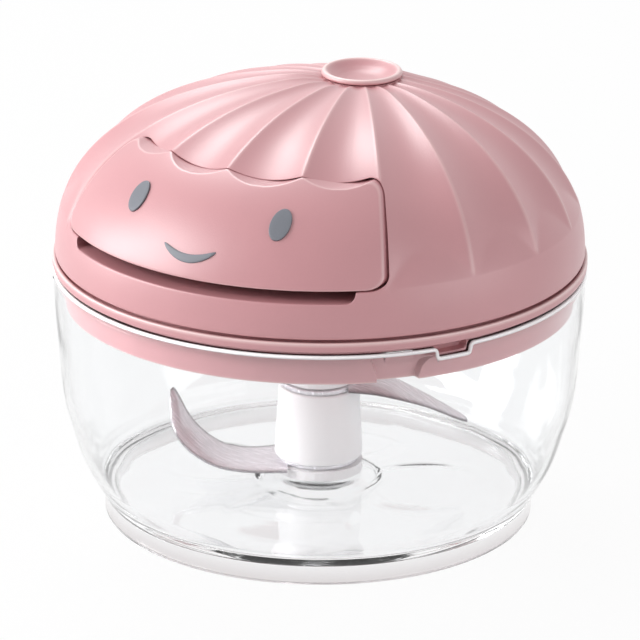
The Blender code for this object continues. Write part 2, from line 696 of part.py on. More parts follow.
def make_lid_base():
    """Turn the lid's plate with its flange, skirt and hub, then add posts and cut the channels."""
    groove_inner = BOWL_INNER_RADIUS + SEAL_RIM_INSET - SEAT_GAP
    groove_outer = groove_inner + SEAL_WIDTH + 2 * SEAT_GAP
    groove_top = FLANGE_Z + SEAL_THICKNESS + SEAT_GAP
    collar_top = PLATE_Z + COLLAR_RISE
    step = FLANGE_RADIUS - STEP_INSET
    skirt_inner = SKIRT_RADIUS - SKIRT_WALL
    skirt_z = FLANGE_Z - SKIRT_DEPTH
    profile = [
        (COLLAR_RADIUS, collar_top), (COLLAR_RADIUS, PLATE_Z + STEP_RISE), (step, PLATE_Z + STEP_RISE),
        (step, PLATE_Z), (FLANGE_RADIUS - FLANGE_EDGE, PLATE_Z), (FLANGE_RADIUS, PLATE_Z - FLANGE_EDGE),
        (FLANGE_RADIUS, FLANGE_Z + FLANGE_EDGE), (FLANGE_RADIUS - FLANGE_EDGE, FLANGE_Z),
        (groove_outer, FLANGE_Z), (groove_outer, groove_top), (groove_inner, groove_top),
        (groove_inner, FLANGE_Z), (SKIRT_RADIUS, FLANGE_Z), (SKIRT_RADIUS, skirt_z),
        (skirt_inner, skirt_z), (skirt_inner, FLANGE_Z), (HUB_RADIUS, FLANGE_Z), (HUB_RADIUS, HUB_BOTTOM_Z),
        (HUB_BORE, HUB_BOTTOM_Z), (HUB_BORE, HUB_TOP_Z), (HUB_RADIUS, HUB_TOP_Z), (HUB_RADIUS, PLATE_Z),
        (COLLAR_RADIUS - COLLAR_WALL, PLATE_Z), (COLLAR_RADIUS - COLLAR_WALL, collar_top),
    ]
    base = turned("lid_base", profile, pink, closed=True)
    for index, angle in enumerate(POST_ANGLES):
        spot = polar(POST_CIRCLE, angle)
        post_bottom = PLATE_Z - FLANGE_THICKNESS / 2
        post = rod(f"post_{index + 1}", POST_RADIUS, post_bottom, POST_TOP_Z, x=spot.x, y=spot.y)
        hole_bottom = COVER_Z - SCREW_LENGTH
        hole = rod(f"post_hole_{index + 1}", SCREW_HOLE, hole_bottom, COVER_Z + CUT_OVERRUN,
                   x=spot.x, y=spot.y, steps=TINY_STEPS)
        combine(base, post, "UNION")
        combine(base, hole)
    for index, angle in enumerate(DOME_POST_ANGLES):
        spot = polar(DOME_POST_CIRCLE, angle)
        hole = rod(f"base_hole_{index + 1}", SCREW_HOLE, FLANGE_Z - CUT_OVERRUN, PLATE_Z + CUT_OVERRUN,
                   x=spot.x, y=spot.y, steps=TINY_STEPS)
        combine(base, hole)
    cut_channels(base, skirt_z)


def cut_channels(base, skirt_z):
    """Cut each L-shaped channel: an open way up for the lug, then a level run to lock it."""
    depth_radius = SKIRT_RADIUS - CHANNEL_DEPTH
    half_lug = (LUG_WIDTH / 2 + CHANNEL_SIDE_GAP) / SKIRT_RADIUS
    top = FLANGE_Z - SEAT_GAP
    for index, angle in enumerate(lock_angles(LUG_ANGLE)):
        start = angle - half_lug
        for label, end, low in (
                ("entry", angle + half_lug, skirt_z - CUT_OVERRUN),
                ("run", angle + half_lug + LOCK_TURN, FLANGE_Z - CHANNEL_DROP)):
            outline = arc(depth_radius, start, end, 5)
            outline += arc(SKIRT_RADIUS + RUNNING_GAP, end, start, 5)
            combine(base, plate(f"{label}_{index + 1}", outline, low, top))


def make_dome_shell():
    """Hollow the fluted dome, keep its posts and handle pocket, and open the slot and crown."""
    dome = fluted_solid("dome_shell", pink)
    cavity = envelope("dome_cavity", DOME_WALL, top_inset=DOME_TOP_WALL, rings=CAVITY_RINGS)
    for index, angle in enumerate(DOME_POST_ANGLES):
        spot = polar(DOME_POST_CIRCLE, angle)
        post = rod(f"dome_post_{index + 1}", DOME_POST_RADIUS, PLATE_Z + SEAT_GAP, PLATE_Z + DOME_POST_HEIGHT,
                   x=spot.x, y=spot.y)
        combine(cavity, post)
    combine(cavity, pocket_solid("pocket_liner", POCKET_WALL))
    combine(dome, cavity)
    combine(dome, pocket_solid("pocket", 0.0))
    hole_top = PLATE_Z + SCREW_LENGTH - FLANGE_THICKNESS
    for index, angle in enumerate(DOME_POST_ANGLES):
        spot = polar(DOME_POST_CIRCLE, angle)
        hole = rod(f"dome_hole_{index + 1}", SCREW_HOLE, PLATE_Z - CUT_OVERRUN, hole_top,
                   x=spot.x, y=spot.y, steps=TINY_STEPS)
        combine(dome, hole)
    crown = rod("crown_hole", CROWN_PLUG_RADIUS + SEAT_GAP, SEAM_Z + DOME_RISE / 2, CROWN_Z + CUT_OVERRUN,
                y=CROWN_OFFSET)
    combine(dome, crown)
    cord_hole = rod_along_y("cord_hole", EYELET_RADIUS + SEAT_GAP, -POCKET_RADIUS - CUT_OVERRUN,
                            -POCKET_RADIUS + POCKET_WALL + CUT_OVERRUN, z=EYELET_Z)
    combine(dome, cord_hole)


def panel_side(rise, margin):
    """Half width of the panel at a rise above the seam, on the line from the crown's centre."""
    reach = ray_reach(PANEL_ANGLE - math.pi / 2, dome_radius(rise))
    return reach * math.sin(PANEL_ANGLE) + margin


def panel_outline(margin, corner):
    """Outline of the handle panel seen from the front, with its wavy top edge."""
    low = BAND_HEIGHT - margin
    top = []
    spread = 1 + margin / panel_side(PANEL_TOP_RISE, 0.0)
    for step in range(PANEL_TOP_STEPS + 1):
        angle = PANEL_ANGLE * (1 - 2 * step / PANEL_TOP_STEPS)
        edge = fluted_point(angle - math.pi / 2, ray_reach(angle - math.pi / 2, PANEL_TOP_RADIUS))
        top.append(Vector((edge.x * spread, edge.z - SEAM_Z + margin)))
    high = top[0].y - corner
    right = []
    for step in range(PANEL_SIDE_STEPS + 1):
        rise = low + corner + (high - low - corner) * step / PANEL_SIDE_STEPS
        right.append(Vector((panel_side(rise, margin), rise)))
    foot_x = panel_side(low + corner, margin) - corner
    foot = arc(corner, -math.pi / 2, 0, CORNER_STEPS, (foot_x, low + corner))[:-1] if corner else []
    half = foot + right
    left = [Vector((-point.x, point.y)) for point in reversed(half)]
    return half + top[1:-1] + left


def upright_prism(name, outline, near, far, finish=None):
    """Extrude a front-view outline along Y, with its heights taken from the seam."""
    frame = Matrix.Translation((0, 0, SEAM_Z)) @ Matrix.Rotation(math.pi / 2, 4, "X")
    return plate(name, outline, -far, -near, finish, frame)


def pocket_solid(name, wall):
    """Space for the handle panel and the fingers, grown by a wall where one is given."""
    near = -DOME_RADIUS - CUT_OVERRUN
    far = -POCKET_END + wall
    space = upright_prism(name, panel_outline(PANEL_GAP + wall, 0.0), near, far)
    half = panel_side(BAND_HEIGHT, 0.0) - SLOT_INSET + wall
    slot_low = PANEL_Z - SLOT_HEIGHT - wall
    depth = (near - SEAT_GAP, far - SEAT_GAP)
    slot = block(name + "_slot", (-half, half), depth, (slot_low, PANEL_Z + PANEL_CORNER))
    combine(space, slot, "UNION")
    drum = rod(name + "_drum", POCKET_RADIUS - wall, SEAM_Z, CROWN_Z + CUT_OVERRUN, steps=ROUND_STEPS)
    combine(space, drum)
    return space


def make_crown_cap():
    """Turn the dished disc that plugs into the top of the dome."""
    under = CROWN_Z - CROWN_LIP
    bottom = CROWN_Z - CROWN_PLUG_DEPTH
    profile = [(CROWN_RADIUS * wide, CROWN_Z - CROWN_DISH * deep) for wide, deep in CROWN_DISH_SHARES]
    profile += [(CROWN_RADIUS, under), (CROWN_PLUG_RADIUS, under), (CROWN_PLUG_RADIUS, bottom), (0, bottom)]
    cap = turned("crown_cap", profile, pink, MEDIUM_STEPS)
    cap.location.y = CROWN_OFFSET


def make_handle_panel():
    """Take the panel from the dome's smooth surface, with its cord anchor and face pockets."""
    panel = envelope("handle_panel", 0.0, pink)
    hollow = envelope("panel_hollow", PANEL_THICKNESS)
    anchor = rod_along_y("anchor", ANCHOR_RADIUS, -dome_radius(EYELET_RISE), ANCHOR_Y, z=EYELET_Z)
    combine(hollow, anchor)
    combine(panel, hollow)
    combine(panel, upright_prism("panel_face", panel_outline(0.0, PANEL_CORNER), -DOME_RADIUS - CUT_OVERRUN,
                                 -POCKET_END), "INTERSECT")
    bore = rod_along_y("anchor_bore", ANCHOR_BORE, ANCHOR_Y - ANCHOR_BORE_DEPTH, ANCHOR_Y + CUT_OVERRUN,
                       z=EYELET_Z)
    combine(panel, bore)
    for name, frame, outline in face_inlays(SEAT_GAP):
        cutter = plate(name + "_pocket", outline, -INLAY_DEPTH - SEAT_GAP, CUT_OVERRUN, frame=frame)
        combine(panel, cutter)
    for name, frame, outline in face_inlays(0.0):
        inlay = plate(name, outline, -INLAY_DEPTH, CUT_OVERRUN, grey, frame)
        combine(inlay, envelope(name + "_skin", -INLAY_PROUD), "INTERSECT")


def face_inlays(margin):
    """Name, frame on the dome and outline of each eye and of the mouth."""
    eye = []
    for step in range(SMALL_STEPS):
        angle = math.tau * step / SMALL_STEPS
        across = (EYE_WIDTH / 2 + margin) * math.cos(angle)
        along = (EYE_HEIGHT / 2 + margin) * math.sin(angle)
        eye.append(Vector((across, along)))
    shapes = [
        ("eye_left", dome_frame(-EYE_ANGLE, EYE_RISE, EYE_TILT), eye),
        ("eye_right", dome_frame(EYE_ANGLE, EYE_RISE, -EYE_TILT), eye),
        ("mouth", dome_frame(0.0, MOUTH_RISE), crescent(margin)),
    ]
    return shapes


def crescent(margin):
    """Outline of the smile: a lower and an upper arc that meet at its two ends."""
    half = MOUTH_WIDTH / 2 + margin
    steps = SMALL_STEPS // 2
    lower = []
    upper = []
    for step in range(steps + 1):
        share = 2 * step / steps - 1
        bow = 1 - share ** 2
        sag = -MOUTH_SAG * bow + MOUTH_SAG / 2
        swell = (MOUTH_THICKNESS / 2) * math.sqrt(bow) + margin
        lower.append(Vector((half * share, sag - swell)))
        upper.append(Vector((half * share, sag + swell)))
    return lower + list(reversed(upper if margin else upper[1:-1]))


def cord_exit():
    """Plan angle at which the cord leaves the reel, on the tangent to its bend."""
    return -math.pi / 2 - math.acos(WINDING_RADIUS / CORD_BEND_Y)


def make_cord_winding():
    """Wind the cord on the reel as one helix that ends where the cord leaves it."""
    steps = WINDING_LOOPS * LOOP_POINTS
    points = []
    for step in range(steps + 1):
        turns_left = WINDING_LOOPS * (1 - step / steps)
        spot = polar(WINDING_RADIUS, cord_exit() - math.tau * turns_left)
        points.append((spot.x, spot.y, EYELET_Z - WINDING_PITCH * turns_left))
    tube("cord_winding", points, CORD_RADIUS, cord_white)
    gap = (Vector(points[LOOP_POINTS]) - Vector(points[0])).length - 2 * CORD_RADIUS
    print(f"Least gap between the loops of the cord winding: {gap:.5f} m")


def make_pull_cord():
    """Run the cord from the reel through the eyelet to its knot behind the panel."""
    start = polar(WINDING_RADIUS, cord_exit())
    bend = Vector((0, -CORD_BEND_Y))
    start += (bend - start).normalized() * 2 * SEAT_GAP
    end = Vector((0, KNOT_Y + KNOT_RADIUS + SEAT_GAP))
    before = bend.lerp(start, CORD_BEND_SIZE / (start - bend).length)
    after = bend.lerp(end, CORD_BEND_SIZE / (end - bend).length)
    route = [start.lerp(before, step / 3) for step in range(3)]
    for step in range(5):
        share = step / 4
        route.append(before.lerp(bend, share).lerp(bend.lerp(after, share), share))
    route += [after.lerp(end, step / 4) for step in range(1, 5)]
    tube("pull_cord", [(point.x, point.y, EYELET_Z) for point in route], CORD_RADIUS, cord_white)


def make_cord_anchor():
    """Make the cord's knot inside the panel's anchor, and the ring that stops it there."""
    profile = [polar(KNOT_RADIUS, math.pi / 2 - math.pi * step / 8) for step in range(9)]
    profile[0].x = 0
    profile[-1].x = 0
    knot = turned("cord_knot", profile, cord_white, TINY_STEPS)
    knot.location = (0, KNOT_Y, EYELET_Z)
    knot.rotation_euler.x = math.pi / 2
    outer = ANCHOR_BORE - SEAT_GAP
    half = STOP_THICKNESS / 2
    ring = [(outer, half), (outer, -half), (STOP_HOLE, -half), (STOP_HOLE, half)]
    stop = turned("cord_stop", ring, white, SMALL_STEPS, closed=True)
    stop.location = (0, ANCHOR_Y - half - SEAT_GAP, EYELET_Z)
    stop.rotation_euler.x = math.pi / 2


def make_cord_eyelet():
    """Turn the flanged eyelet that the cord runs through, in the pocket's back wall."""
    mouth = -POCKET_RADIUS - SEAT_GAP
    length = POCKET_WALL + SEAT_GAP
    profile = [
        (EYELET_BORE, EYELET_FLANGE_THICKNESS), (EYELET_FLANGE, EYELET_FLANGE_THICKNESS), (EYELET_FLANGE, 0),
        (EYELET_RADIUS, 0), (EYELET_RADIUS, -length), (EYELET_BORE, -length),
    ]
    eyelet = turned("cord_eyelet", profile, steel, SMALL_STEPS, closed=True)
    eyelet.location = (0, mouth, EYELET_Z)
    eyelet.rotation_euler.x = math.pi / 2


def make_drive_shaft():
    """Turn the drive shaft, with its ratchet wheel on top and its two dogs at the foot."""
    clip_low = CLIP_TOP_Z - CLIP_THICKNESS - SEAT_GAP
    groove = SHAFT_RADIUS - CLIP_GROOVE_DEPTH
    dog_top = DOG_Z + DOG_LENGTH
    socket_z = RATCHET_TOP_Z - AXLE_SOCKET_DEPTH
    middle = RATCHET_RADIUS - 2 * RATCHET_TOOTH
    web_top = RATCHET_TOP_Z - SEAT_GAP
    profile = [
        (0, socket_z), (AXLE_BORE, socket_z), (AXLE_BORE, web_top), (middle, web_top),
        (middle, RATCHET_Z + SEAT_GAP), (SHAFT_RADIUS, RATCHET_Z + SEAT_GAP),
        (SHAFT_RADIUS, CLIP_TOP_Z + SEAT_GAP), (groove, CLIP_TOP_Z + SEAT_GAP),
        (groove, clip_low), (SHAFT_RADIUS, clip_low), (SHAFT_RADIUS, dog_top),
        (DOG_CORE, dog_top - (SHAFT_RADIUS - DOG_CORE)), (DOG_CORE, DOG_Z), (0, DOG_Z),
    ]
    shaft = turned("drive_shaft", profile, white, SMALL_STEPS)
    wheel = plate("ratchet_teeth", ratchet_outline(), RATCHET_Z, RATCHET_TOP_Z)
    bore = middle - RATCHET_TOOTH
    combine(wheel, rod("ratchet_bore", bore, RATCHET_Z - CUT_OVERRUN, RATCHET_TOP_Z + CUT_OVERRUN))
    combine(shaft, wheel, "UNION")
    sides = (-DOG_WIDTH / 2, DOG_WIDTH / 2)
    dogs = block("dogs", (-DOG_REACH, DOG_REACH), sides, (DOG_Z, dog_top - SEAT_GAP))
    combine(shaft, dogs, "UNION")


def ratchet_outline():
    """Saw-toothed outline whose steep flanks face a pawl that drives anticlockwise."""
    pitch = math.tau / RATCHET_TEETH
    first_flank = PAWL_TIP_ANGLE + PAWL_FLANK_ANGLE
    outline = []
    for tooth in range(RATCHET_TEETH):
        flank = first_flank + pitch * tooth
        outline.append(polar(RATCHET_RADIUS - RATCHET_TOOTH, flank - pitch * FLANK_SHARE))
        outline.append(polar(RATCHET_RADIUS, flank))
        outline.append(polar(RATCHET_RADIUS - RATCHET_TOOTH / 2, flank + pitch * (1 - FLANK_SHARE) / 2))
    return outline


def make_pawls():
    """Make the two pawls, which swing on pins under the reel and push the ratchet's flanks."""
    low = REEL_Z - SEAT_GAP - PAWL_THICKNESS
    tip = polar(PAWL_TIP_RADIUS, PAWL_TIP_ANGLE) - Vector((PAWL_PIVOT_RADIUS, 0))
    along = tip.normalized()
    across = Vector((-along.y, along.x))
    back = math.atan2(-along.y, -along.x)
    outline = arc(PAWL_EYE, back - math.pi / 2, back + math.pi / 2, 8)
    outline = [tip + across * PAWL_TIP_WIDTH / 2] + outline + [tip - across * PAWL_TIP_WIDTH / 2]
    for index in range(2):
        pivot = polar(PAWL_PIVOT_RADIUS, math.pi * index)
        frame = Matrix.Rotation(math.pi * index, 4, "Z")
        pawl = plate(f"pawl_{index + 1}", outline, low, low + PAWL_THICKNESS, steel, frame)
        pawl.location = (pivot.x, pivot.y, 0)
        hole = rod(f"pawl_hole_{index + 1}", PAWL_PIN_RADIUS + SEAT_GAP, low - CUT_OVERRUN, REEL_Z,
                   x=pivot.x, y=pivot.y, steps=TINY_STEPS)
        combine(pawl, hole)


def make_reel():
    """Turn the reel with its flanges, bore and spring arbor, and add the two pawl pins."""
    arbor_top = REEL_TOP_Z + ARBOR_RISE
    groove_top = GROOVE_Z + REEL_GROOVE
    profile = [
        (ARBOR_RADIUS, arbor_top), (ARBOR_RADIUS, REEL_TOP_Z), (REEL_RADIUS, REEL_TOP_Z),
        (REEL_RADIUS, groove_top), (CORE_RADIUS, groove_top), (CORE_RADIUS, GROOVE_Z),
        (REEL_RADIUS, GROOVE_Z), (REEL_RADIUS, REEL_Z), (AXLE_BORE, REEL_Z), (AXLE_BORE, arbor_top),
    ]
    reel = turned("reel", profile, white, MEDIUM_STEPS, closed=True)
    pin_low = REEL_Z - PAWL_THICKNESS - 2 * SEAT_GAP
    for index in range(2):
        pivot = polar(PAWL_PIVOT_RADIUS, math.pi * index)
        pin = rod(f"pawl_pin_{index + 1}", PAWL_PIN_RADIUS, pin_low, REEL_Z + REEL_FLANGE / 2,
                  x=pivot.x, y=pivot.y, steps=TINY_STEPS)
        combine(reel, pin, "UNION")


def make_bearings():
    """Turn the shaft's flanged bush and lip seal, and bend its open clip."""
    top = BUSH_TOP_Z
    low = HUB_TOP_Z + SEAT_GAP
    seal_top = HUB_BOTTOM_Z + SHAFT_SEAL_HEIGHT
    bush = [
        (BUSH_FLANGE, top), (BUSH_FLANGE, low), (BUSH_RADIUS, low), (BUSH_RADIUS, seal_top + SEAT_GAP),
        (BUSH_BORE, seal_top + SEAT_GAP), (BUSH_BORE, top),
    ]
    turned("shaft_bush", bush, steel, SMALL_STEPS, closed=True)
    seal = [
        (BUSH_RADIUS, seal_top), (BUSH_RADIUS, HUB_BOTTOM_Z), (BUSH_BORE, HUB_BOTTOM_Z),
        (BUSH_BORE, seal_top),
    ]
    turned("shaft_seal", seal, silicone, SMALL_STEPS, closed=True)
    inner = SHAFT_RADIUS - CLIP_GROOVE_DEPTH + SEAT_GAP
    start = CLIP_OPENING / 2
    end = math.tau - start
    outline = arc(inner, start, end, SMALL_STEPS) + arc(CLIP_RADIUS, end, start, SMALL_STEPS)
    plate("shaft_clip", outline, CLIP_TOP_Z - CLIP_THICKNESS, CLIP_TOP_Z, steel)


def make_reel_axle():
    """Turn the headed pin that hangs from the cover and carries the reel."""
    under = AXLE_TOP_Z - AXLE_HEAD_HEIGHT
    profile = [
        (0, AXLE_TOP_Z), (AXLE_HEAD, AXLE_TOP_Z), (AXLE_HEAD, under), (AXLE_RADIUS, under),
        (AXLE_RADIUS, AXLE_Z), (0, AXLE_Z),
    ]
    turned("reel_axle", profile, steel, SMALL_STEPS)


def make_recoil_spring():
    """Coil the flat spring that winds the cord back, from the arbor out to the cup."""
    inner = ARBOR_RADIUS + SEAT_GAP + SPRING_THICKNESS
    steps = SPRING_TURNS * SPRING_TURN_POINTS
    outside = []
    inside = []
    for step in range(steps + 1):
        angle = math.tau * SPRING_TURNS * step / steps
        radius = inner + (SPRING_OUTER - inner) * step / steps
        outside.append(polar(radius + SPRING_THICKNESS / 2, angle))
        inside.append(polar(radius - SPRING_THICKNESS / 2, angle))
    plate("recoil_spring", outside + list(reversed(inside)), SPRING_Z, SPRING_Z + SPRING_HEIGHT, steel)


def make_reel_cover():
    """Turn the spring's cup and flange, and add an ear over each post."""
    low = COVER_Z
    flange_top = low + COVER_WALL
    inner_top = COVER_TOP_Z - COVER_WALL
    cup_inner = COVER_CUP_RADIUS - COVER_WALL
    profile = [
        (COVER_CUP_RADIUS, COVER_TOP_Z), (COVER_CUP_RADIUS, flange_top), (COVER_RADIUS, flange_top),
        (COVER_RADIUS, low), (cup_inner, low), (cup_inner, inner_top), (AXLE_BORE, inner_top),
        (AXLE_BORE, COVER_TOP_Z),
    ]
    cover = turned("reel_cover", profile, white, MEDIUM_STEPS, closed=True)
    for index, angle in enumerate(POST_ANGLES):
        spot = polar(POST_CIRCLE, angle)
        ear = rod(f"ear_{index + 1}", EAR_RADIUS, low, flange_top, x=spot.x, y=spot.y)
        reach = ((COVER_CUP_RADIUS + COVER_RADIUS) / 2, POST_CIRCLE - EAR_RADIUS / 2)
        half = EAR_RADIUS - COVER_WALL
        heights = (low + SEAT_GAP, flange_top - SEAT_GAP)
        arm = block(f"arm_{index + 1}", reach, (-half, half), heights, turn=angle)
        hole = rod(f"ear_hole_{index + 1}", SCREW_HOLE, low - CUT_OVERRUN, flange_top + CUT_OVERRUN,
                   x=spot.x, y=spot.y, steps=TINY_STEPS)
        combine(cover, arm, "UNION")
        combine(cover, ear, "UNION")
        combine(cover, hole)


def make_screw(name, spot, seat, direction):
    """Turn a pan-head screw with its head on a seat, pointing down (1) or up (-1)."""
    head_top = seat + direction * (SEAT_GAP + SCREW_HEAD_HEIGHT)
    head_low = seat + direction * SEAT_GAP
    tip = head_low - direction * (SCREW_LENGTH - COVER_WALL)
    profile = [
        (0, head_top), (SCREW_HEAD, head_top), (SCREW_HEAD, head_low), (SCREW_RADIUS, head_low),
        (SCREW_RADIUS, tip), (0, tip),
    ]
    if direction < 0:
        profile.reverse()
    screw = turned(name, profile, steel, TINY_STEPS)
    screw.location = (spot.x, spot.y, 0)


def make_screws():
    """Make the screws of the reel cover, from above, and of the dome, from below."""
    for index, angle in enumerate(POST_ANGLES):
        make_screw(f"cover_screw_{index + 1}", polar(POST_CIRCLE, angle), COVER_Z + COVER_WALL, 1)
    for index, angle in enumerate(DOME_POST_ANGLES):
        make_screw(f"dome_screw_{index + 1}", polar(DOME_POST_CIRCLE, angle), FLANGE_Z, -1)


def make_blade_column():
    """Turn the column, with a stem below for the lower blade and one above for the upper blade."""
    stem_top = COLUMN_TOP_Z + TOP_STEM_HEIGHT
    stem_low = FOOT_Z + 3 * SEAT_GAP
    bore_top = PIN_TOP_Z + 2 * SEAT_GAP
    profile = [
        (0, stem_top), (TOP_STEM_RADIUS, stem_top), (TOP_STEM_RADIUS, COLUMN_TOP_Z),
        (COLUMN_TOP_RADIUS, COLUMN_TOP_Z), (COLUMN_RADIUS, COLUMN_Z), (STEM_RADIUS, COLUMN_Z),
        (STEM_RADIUS, stem_low), (COLUMN_BORE, stem_low), (COLUMN_BORE, bore_top), (0, bore_top),
    ]
    turned("blade_column", profile, white, MEDIUM_STEPS)
    bush_top = bore_top - 2 * SEAT_GAP
    bush = [
        (PIVOT_BUSH_RADIUS, bush_top), (PIVOT_BUSH_RADIUS, stem_low), (PIVOT_BORE, stem_low),
        (PIVOT_BORE, bush_top),
    ]
    turned("pivot_bush", bush, steel, SMALL_STEPS, closed=True)


def make_column_foot():
    """Turn the foot that clamps the lower blade to the column's stem."""
    top = LOWER_BLADE_Z - SEAT_GAP
    recess = STEM_RADIUS + SEAT_GAP
    recess_low = FOOT_Z + 2 * SEAT_GAP
    profile = [
        (COLUMN_RADIUS, top), (COLUMN_RADIUS, FOOT_Z), (FOOT_BORE, FOOT_Z), (FOOT_BORE, recess_low),
        (recess, recess_low), (recess, top),
    ]
    turned("column_foot", profile, white, MEDIUM_STEPS, closed=True)


def make_drive_socket():
    """Turn the column's upper sleeve, with two ribs inside that the shaft's dogs push."""
    recess_top = COLUMN_TOP_Z + TOP_STEM_HEIGHT + SEAT_GAP
    floor = DOG_Z - RUNNING_GAP
    recess = TOP_STEM_RADIUS + SEAT_GAP
    profile = [
        (0, floor), (SOCKET_BORE, floor), (SOCKET_BORE, SOCKET_TOP_Z), (SOCKET_RADIUS, SOCKET_TOP_Z),
        (SOCKET_RADIUS, SOCKET_Z), (recess, SOCKET_Z), (recess, recess_top), (0, recess_top),
    ]
    socket = turned("drive_socket", profile, white, MEDIUM_STEPS)
    rib_inner = SHAFT_RADIUS + SEAT_GAP
    for index, side in enumerate((-1, 1)):
        reach = sorted((side * rib_inner, side * (SOCKET_BORE + SOCKET_RADIUS) / 2))
        sides = (-DOG_WIDTH / 2, DOG_WIDTH / 2)
        rib = block(f"rib_{index + 1}", sides, reach, (floor - SEAT_GAP, DOG_Z + DOG_LENGTH))
        combine(socket, rib, "UNION")


def make_blade(name, shares, angle, level, bore):
    """Loft a blade from its stations and join it to its flat hub with the bore."""
    shape = bmesh.new()
    rows = []
    for along, sideways, width, rise in shares:
        edge = [Vector((along, sideways - width / 2, rise)), Vector((along, sideways + width / 2, rise))]
        low = [shape.verts.new(point * BLADE_REACH) for point in edge]
        high = [shape.verts.new(point * BLADE_REACH + Vector((0, 0, BLADE_THICKNESS))) for point in edge]
        rows.append([low[0], low[1], high[1], high[0]])
    for inner, outer in zip(rows, rows[1:]):
        for side in range(4):
            after = (side + 1) % 4
            shape.faces.new((inner[side], inner[after], outer[after], outer[side]))
    shape.faces.new(rows[0])
    shape.faces.new(list(reversed(rows[-1])))
    bmesh.ops.recalc_face_normals(shape, faces=shape.faces)
    bmesh.ops.rotate(shape, verts=shape.verts, cent=(0, 0, 0), matrix=Matrix.Rotation(angle, 3, "Z"))
    bmesh.ops.translate(shape, verts=shape.verts, vec=(0, 0, level))
    arm = from_shape(name + "_arm", shape, None)
    blade = rod(name, BLADE_HUB, level, level + BLADE_THICKNESS, steel)
    combine(blade, arm, "UNION")
    combine(blade, rod(name + "_bore", bore, level - CUT_OVERRUN, level + CUT_OVERRUN))


def make_blades():
    """Make the lower blade, swept up at its tip, and the upper blade, swept down."""
    lower_bore = STEM_RADIUS + SEAT_GAP
    upper_bore = TOP_STEM_RADIUS + SEAT_GAP
    make_blade("blade_lower", LOWER_BLADE_SHARES, LOWER_BLADE_ANGLE, LOWER_BLADE_Z, lower_bore)
    make_blade("blade_upper", UPPER_BLADE_SHARES, UPPER_BLADE_ANGLE, UPPER_BLADE_Z, upper_bore)


def hang_on_axes():
    """Parent each moving group of pieces to an empty on its joint's axis."""
    screws = [f"{kind}_screw_{index + 1}" for kind in ("cover", "dome") for index in range(4)]
    groups = {
        "lid_axis": (FLANGE_Z, [
            "lid_base", "dome_shell", "crown_cap", "cord_eyelet", "pull_cord", "recoil_spring", "reel_cover",
            "reel_axle", "shaft_bush", "shaft_seal"] + screws),
        "handle_axis": (EYELET_Z, [
            "handle_panel", "eye_left", "eye_right", "mouth", "cord_knot", "cord_stop"]),
        "reel_axis": (REEL_Z, ["reel", "cord_winding"]),
        "drive_axis": (RATCHET_Z, ["drive_shaft", "shaft_clip"]),
        "blade_axis": (COLUMN_Z, [
            "blade_column", "column_foot", "drive_socket", "pivot_bush", "blade_lower", "blade_upper"]),
    }
    for name, (height, members) in groups.items():
        axis = bpy.data.objects.new(name, None)
        axis.location.z = height
        parts.objects.link(axis)
        for member in members:
            piece = parts.objects[member]
            piece.parent = axis
            piece.matrix_parent_inverse = Matrix.Translation((0, 0, -height))


def make_parts():
    """Make every piece of the chopper and hang the moving ones on their axes."""
    make_bowl()
    make_bowl_pin()
    make_lid_seal()
    make_lid_base()
    make_dome_shell()
    make_crown_cap()
    make_handle_panel()
    make_cord_eyelet()
    make_pull_cord()
    make_cord_winding()
    make_cord_anchor()
    make_reel()
    make_pawls()
    make_drive_shaft()
    make_bearings()
    make_reel_axle()
    make_recoil_spring()
    make_reel_cover()
    make_screws()
    make_blade_column()
    make_column_foot()
    make_drive_socket()
    make_blades()
    hang_on_axes()


for old in list(bpy.data.objects):
    bpy.data.objects.remove(old, do_unlink=True)
parts = bpy.data.collections.new("vegetable_chopper")
cutters = bpy.data.collections.new("cutters")
for group in (parts, cutters):
    bpy.context.scene.collection.children.link(group)

pink = material("pink_plastic", (219, 175, 176), 0.45)
clear_plastic = material("clear_plastic", (245, 247, 248), 0.05, transmission=1.0)
grey = material("grey_plastic", (120, 122, 131), 0.5)
white = material("white_plastic", (240, 240, 240), 0.4)
steel = material("stainless_steel", (200, 200, 200), 0.25, metallic=1.0)
silicone = material("silicone", (225, 222, 218), 0.6)
cord_white = material("nylon_cord", (235, 233, 228), 0.8)

make_parts()
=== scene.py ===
"""Hand-pull vegetable chopper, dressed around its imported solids.

The bowl, the fluted dome, the pull panel, the lid ring, the column, the blades and the cord
are worked out again as fine surfaces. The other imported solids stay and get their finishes.
Lengths are metres, Z is up, and the pull panel faces -Y. A rise is a height above the dome's
seam, and a share runs from 0 to 1.
"""
import math

import bmesh
import bpy
import numpy as np
from mathutils import Matrix


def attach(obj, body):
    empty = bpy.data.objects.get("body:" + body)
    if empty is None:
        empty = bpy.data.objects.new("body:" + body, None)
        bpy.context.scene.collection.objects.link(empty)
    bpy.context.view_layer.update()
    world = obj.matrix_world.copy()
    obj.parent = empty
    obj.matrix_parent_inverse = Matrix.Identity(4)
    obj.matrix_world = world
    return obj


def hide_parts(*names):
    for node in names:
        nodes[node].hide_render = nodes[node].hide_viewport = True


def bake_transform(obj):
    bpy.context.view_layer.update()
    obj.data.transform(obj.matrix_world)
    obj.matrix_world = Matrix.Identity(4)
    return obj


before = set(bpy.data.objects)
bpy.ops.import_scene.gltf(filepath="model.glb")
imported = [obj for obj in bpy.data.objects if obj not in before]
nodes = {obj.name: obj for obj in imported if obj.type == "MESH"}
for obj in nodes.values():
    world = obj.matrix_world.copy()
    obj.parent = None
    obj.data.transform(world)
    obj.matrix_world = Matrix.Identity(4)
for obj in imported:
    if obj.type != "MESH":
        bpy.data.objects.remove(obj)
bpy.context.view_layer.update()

MM = 0.001
TURN = 2 * math.pi
DEGREE = math.pi / 180

